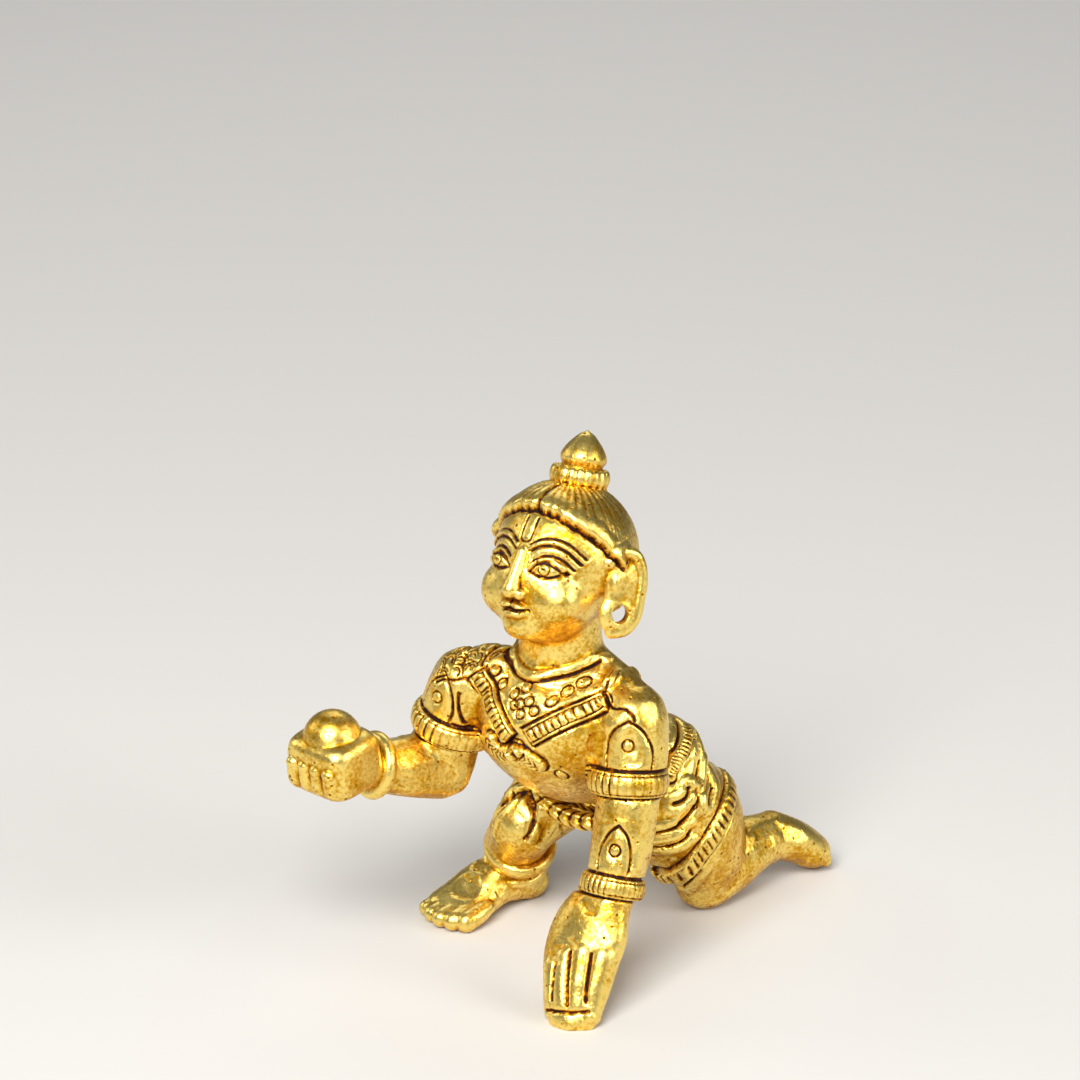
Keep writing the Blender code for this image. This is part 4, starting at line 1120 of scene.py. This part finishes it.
def painted_board(look):
    """Pale matte paint on a flat board, rolled on, with a faint orange-peel texture."""
    material = bpy.data.materials.new("Matte painted board")
    material.use_nodes = True
    tree = material.node_tree
    shader = tree.nodes["Principled BSDF"]
    shader.inputs["Base Color"].default_value = (*look.floor_colour, 1.0)
    shader.inputs["Roughness"].default_value = 0.85
    place = add_node(tree, "ShaderNodeTexCoord").outputs["Object"]
    peel = add_node(tree, "ShaderNodeTexNoise", {"Vector": place, "Scale": per_metre(1.5), "Detail": 2.0})
    bump = add_node(tree, "ShaderNodeBump", {
        "Height": peel.outputs["Fac"], "Strength": 0.4, "Distance": 0.00003,
    })
    tree.links.new(bump.outputs["Normal"], shader.inputs["Normal"])
    return material


def file_facets(body):
    """Flat places left by the file all over the limbs and the trunk, pressed into the bare body."""
    points = np.empty((len(body.vertices), 3), np.float32)
    body.vertices.foreach_get("co", points.ravel())
    normals = np.empty((len(body.vertices), 3), np.float32)
    body.vertex_normals.foreach_get("vector", normals.ravel())
    hand = np.random.default_rng(66)
    below_head = np.flatnonzero(points[:, 2] < SHOULDER_HEIGHT)
    for spot in hand.choice(below_head, FACETS, replace=False):
        normal = normals[spot]
        reach = hand.uniform(1.2, 2.4)
        near = np.flatnonzero(((points - points[spot]) ** 2).sum(1) < reach ** 2)
        near = near[normals[near] @ normal > 0.6]
        over = (points[near] - points[spot]) @ normal + hand.uniform(0.05, 0.17)
        points[near] -= np.clip(over, 0, 0.25)[:, None] * normal
    body.vertices.foreach_set("co", points.ravel())
    body.update()


def cast_figure(scene):
    """The figure as one finished mesh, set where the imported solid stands."""
    sizes = scene.casting_sizes
    body = fused("Body forms", make_body(), BODY_VOXEL, BODY_PASSES)
    file_facets(body)
    skin = fused("Dressed forms", dress(body, sizes), grid(sizes.fineness), SKIN_PASSES)
    give_patina_and_shade(skin, carve(skin, sizes))
    cutters = bpy.data.objects.new("cutters", make_cutters())
    scene.collection.objects.link(cutters)
    ratio = sizes.triangles / (2 * len(skin.polygons))
    mesh = settled("Brass figure", skin, (
        ("DECIMATE", {"ratio": min(1.0, ratio)}),
        ("BOOLEAN", {"operation": "DIFFERENCE", "solver": "MANIFOLD", "object": cutters}),
    ))
    bpy.data.objects.remove(cutters)
    mesh.transform(Matrix.Scale(GRID, 4))
    corners = np.empty((len(mesh.vertices), 3), np.float32)
    mesh.vertices.foreach_get("co", corners.ravel())
    low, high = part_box(NODE)
    shift = (low + high) / 2 - (Vector(corners.min(0)) + Vector(corners.max(0))) / 2
    shift.z = 0
    mesh.transform(Matrix.Translation(shift))
    mesh.shade_smooth()
    mesh.materials.clear()
    mesh.materials.append(antiqued_brass(scene.casting_brass))
    figure = bpy.data.objects.new("brass_figure", mesh)
    scene.collection.objects.link(figure)
    return figure


class CastingSizes(bpy.types.PropertyGroup):
    """Sizes of the figure's trims and the fineness of its mesh."""

    ball_diameter: bpy.props.FloatProperty(
        name="Ball diameter", description="Butter ball in the right hand", default=0.0072, min=0.005, max=0.010,
        unit="LENGTH",
    )
    ear_hole_diameter: bpy.props.FloatProperty(
        name="Ear hole", description="Round hole through each ear lobe", default=0.0023, min=0.001, max=0.003,
        unit="LENGTH",
    )
    ear_lobe_rim: bpy.props.FloatProperty(
        name="Ear lobe rim", description="Metal left round the ear hole", default=0.0011, min=0.0006, max=0.002,
        unit="LENGTH",
    )
    armlet_width: bpy.props.FloatProperty(
        name="Armlet width", description="Width of the armlets along the arm", default=0.0034, min=0.002,
        max=0.006, unit="LENGTH",
    )
    bracelet_width: bpy.props.FloatProperty(
        name="Bracelet width", description="Width of the left bracelet", default=0.0028, min=0.001, max=0.004,
        unit="LENGTH",
    )
    anklet_width: bpy.props.FloatProperty(
        name="Anklet width", description="Width of each anklet", default=0.0020, min=0.001, max=0.004,
        unit="LENGTH",
    )
    sash_width: bpy.props.FloatProperty(
        name="Garland width", description="Width of the two garlands on the breast", default=0.0022, min=0.0015,
        max=0.004, unit="LENGTH",
    )
    hem_width: bpy.props.FloatProperty(
        name="Hem width", description="Width of the ribbed hem on the left thigh", default=0.0022, min=0.0015,
        max=0.005, unit="LENGTH",
    )
    fineness: bpy.props.FloatProperty(
        name="Fineness", description="Size of the cells in which the skin is fused", default=0.00015,
        min=0.0001, max=0.0006, unit="LENGTH", precision=5,
    )
    triangles: bpy.props.IntProperty(
        name="Triangles", description="Triangles that the finished mesh keeps", default=190000, min=20000,
        max=198000,
    )


class CastingBrass(bpy.types.PropertyGroup):
    """Tones of the brass, from the buffed high places to the deepest strokes."""

    polished: bpy.props.FloatVectorProperty(
        name="Buffed", description="High places, rubbed bright", subtype="COLOR", default=linear("#FBDD78"),
        min=0, max=1,
    )
    brass: bpy.props.FloatVectorProperty(
        name="Brass", description="The metal on plain faces", subtype="COLOR", default=linear("#D6A01C"),
        min=0, max=1,
    )
    # Amber is also the tone of the shade painted on the undersides and in broad recesses.
    amber: bpy.props.FloatVectorProperty(
        name="Amber", description="Thin film on turning sides", subtype="COLOR", default=linear("#A86C0C"),
        min=0, max=1,
    )
    brown: bpy.props.FloatVectorProperty(
        name="Brown", description="Film in shallow strokes", subtype="COLOR", default=linear("#4A1B08"),
        min=0, max=1,
    )
    soot: bpy.props.FloatVectorProperty(
        name="Soot", description="Film in deep strokes", subtype="COLOR", default=linear("#220B04"),
        min=0, max=1,
    )
    roughness: bpy.props.FloatProperty(
        name="Roughness", description="Roughness of the buffed metal", default=0.22, min=0.05, max=0.6,
    )


class CastingStage(bpy.types.PropertyGroup):
    """The floor, the lights and the camera."""

    floor_colour: bpy.props.FloatVectorProperty(
        name="Floor", description="Paint on the floor", subtype="COLOR", default=linear("#CBC8C3"), min=0,
        max=1,
    )
    key_power: bpy.props.FloatProperty(
        name="Key light", description="Power of the large soft light over the camera", default=9.5, min=0,
        unit="POWER",
    )
    side_power: bpy.props.FloatProperty(
        name="Side light", description="Power of the soft light at the figure's left", default=3.4, min=0,
        unit="POWER",
    )
    fill_power: bpy.props.FloatProperty(
        name="Fill light", description="Power of the soft light at the figure's right", default=1.0, min=0,
        unit="POWER",
    )
    floor_power: bpy.props.FloatProperty(
        name="Floor light", description="Power of the soft light over the floor behind", default=1.8, min=0,
        unit="POWER",
    )
    room_strength: bpy.props.FloatProperty(
        name="Room light", description="Strength of the even light from all round", default=0.22, min=0,
    )
    distance: bpy.props.FloatProperty(
        name="Distance", description="From the camera to the point it looks at", default=0.420, min=0.1,
        unit="LENGTH",
    )
    lens: bpy.props.FloatProperty(
        name="Lens", description="Focal length on a 36 mm wide sensor", default=120.4, min=20, unit="CAMERA",
    )


class CASTING_OT_figure(bpy.types.Operator):
    """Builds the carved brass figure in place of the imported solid"""

    bl_idname = "casting.figure"
    bl_label = "Cast figure"

    def execute(self, context):
        figure = cast_figure(context.scene)
        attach(figure, "root")
        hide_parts(NODE)
        return {"FINISHED"}


def add_soft_light(scene, name, place, aim, size, power):
    """A square soft box that faces a point."""
    light = bpy.data.lights.new(name, "AREA")
    light.shape = "SQUARE"
    light.size = size
    light.energy = power
    lamp = bpy.data.objects.new(name, light)
    lamp.location = place
    lamp.rotation_euler = (Vector(aim) - Vector(place)).to_track_quat("-Z", "Y").to_euler()
    scene.collection.objects.link(lamp)


def add_camera(scene, look):
    """The camera to the figure's left front, looking down at its head."""
    azimuth = math.radians(CAMERA_AZIMUTH)
    elevation = math.radians(CAMERA_ELEVATION)
    right = Vector((math.cos(azimuth), math.sin(azimuth), 0))
    level = Vector((-math.sin(azimuth), math.cos(azimuth), 0))
    ahead = level * math.cos(elevation) - Vector((0, 0, math.sin(elevation)))
    data = bpy.data.cameras.new("camera")
    data.sensor_width = 36
    data.lens = look.lens
    data.clip_start = 0.01
    camera = bpy.data.objects.new("camera", data)
    camera.matrix_world = Matrix((right, right.cross(ahead), -ahead)).transposed().to_4x4()
    camera.location = CAMERA_AIM - ahead * look.distance
    scene.collection.objects.link(camera)
    scene.camera = camera


class CASTING_OT_stage(bpy.types.Operator):
    """Lays the pale floor and sets up the soft lights and the camera"""

    bl_idname = "casting.stage"
    bl_label = "Set stage"

    def execute(self, context):
        scene = context.scene
        look = scene.casting_stage
        plane = bmesh.new()
        bmesh.ops.create_circle(plane, cap_ends=True, segments=96, radius=FLOOR_RADIUS)
        mesh = bpy.data.meshes.new("Floor")
        plane.to_mesh(mesh)
        plane.free()
        mesh.materials.append(painted_board(look))
        floor = bpy.data.objects.new("floor", mesh)
        scene.collection.objects.link(floor)
        add_soft_light(scene, "key", (0.12, -0.55, 0.56), LIGHTS_AIM, 0.42, look.key_power)
        add_soft_light(scene, "left side", (0.75, 0.05, 0.40), LIGHTS_AIM, 0.40, look.side_power)
        add_soft_light(scene, "right side", (-0.70, -0.15, 0.35), LIGHTS_AIM, 0.40, look.fill_power)
        add_soft_light(scene, "behind", (-0.30, 0.55, 0.55), (-0.30, 0.65, 0), 0.60, look.floor_power)
        world = bpy.data.worlds.new("Pale room")
        world.use_nodes = True
        world.node_tree.nodes["Background"].inputs["Color"].default_value = (*linear("#C9CBD0"), 1.0)
        world.node_tree.nodes["Background"].inputs["Strength"].default_value = look.room_strength
        scene.world = world
        scene.view_settings.view_transform = "Standard"
        add_camera(scene, look)
        return {"FINISHED"}


class CASTING_PT_panel(bpy.types.Panel):
    """Sizes, tones and stage of the casting, with the steps that build them"""

    bl_idname = "CASTING_PT_panel"
    bl_label = "Casting"
    bl_space_type = "VIEW_3D"
    bl_region_type = "UI"
    bl_category = "Casting"

    def draw(self, context):
        scene = context.scene
        for title, group in (
            ("Sizes", scene.casting_sizes), ("Brass", scene.casting_brass), ("Stage", scene.casting_stage),
        ):
            box = self.layout.box()
            box.label(text=title)
            for name in group.__annotations__:
                box.prop(group, name)
        for step in STEPS:
            self.layout.operator(step.bl_idname)


STEPS = (CASTING_OT_figure, CASTING_OT_stage)
GROUPS = (
    ("casting_sizes", CastingSizes),
    ("casting_brass", CastingBrass),
    ("casting_stage", CastingStage),
)


def register():
    """Registers the classes and hangs the settings on the scene."""
    for name, group in GROUPS:
        bpy.utils.register_class(group)
        setattr(bpy.types.Scene, name, bpy.props.PointerProperty(type=group))
    for kind in (*STEPS, CASTING_PT_panel):
        bpy.utils.register_class(kind)


def unregister():
    """Takes the classes and the settings away again."""
    for kind in reversed((*STEPS, CASTING_PT_panel)):
        bpy.utils.unregister_class(kind)
    for name, group in reversed(GROUPS):
        delattr(bpy.types.Scene, name)
        bpy.utils.unregister_class(group)


def main():
    """Runs every step in order."""
    register()
    bpy.ops.casting.figure()
    bpy.ops.casting.stage()


if __name__ == "__main__":
    main()
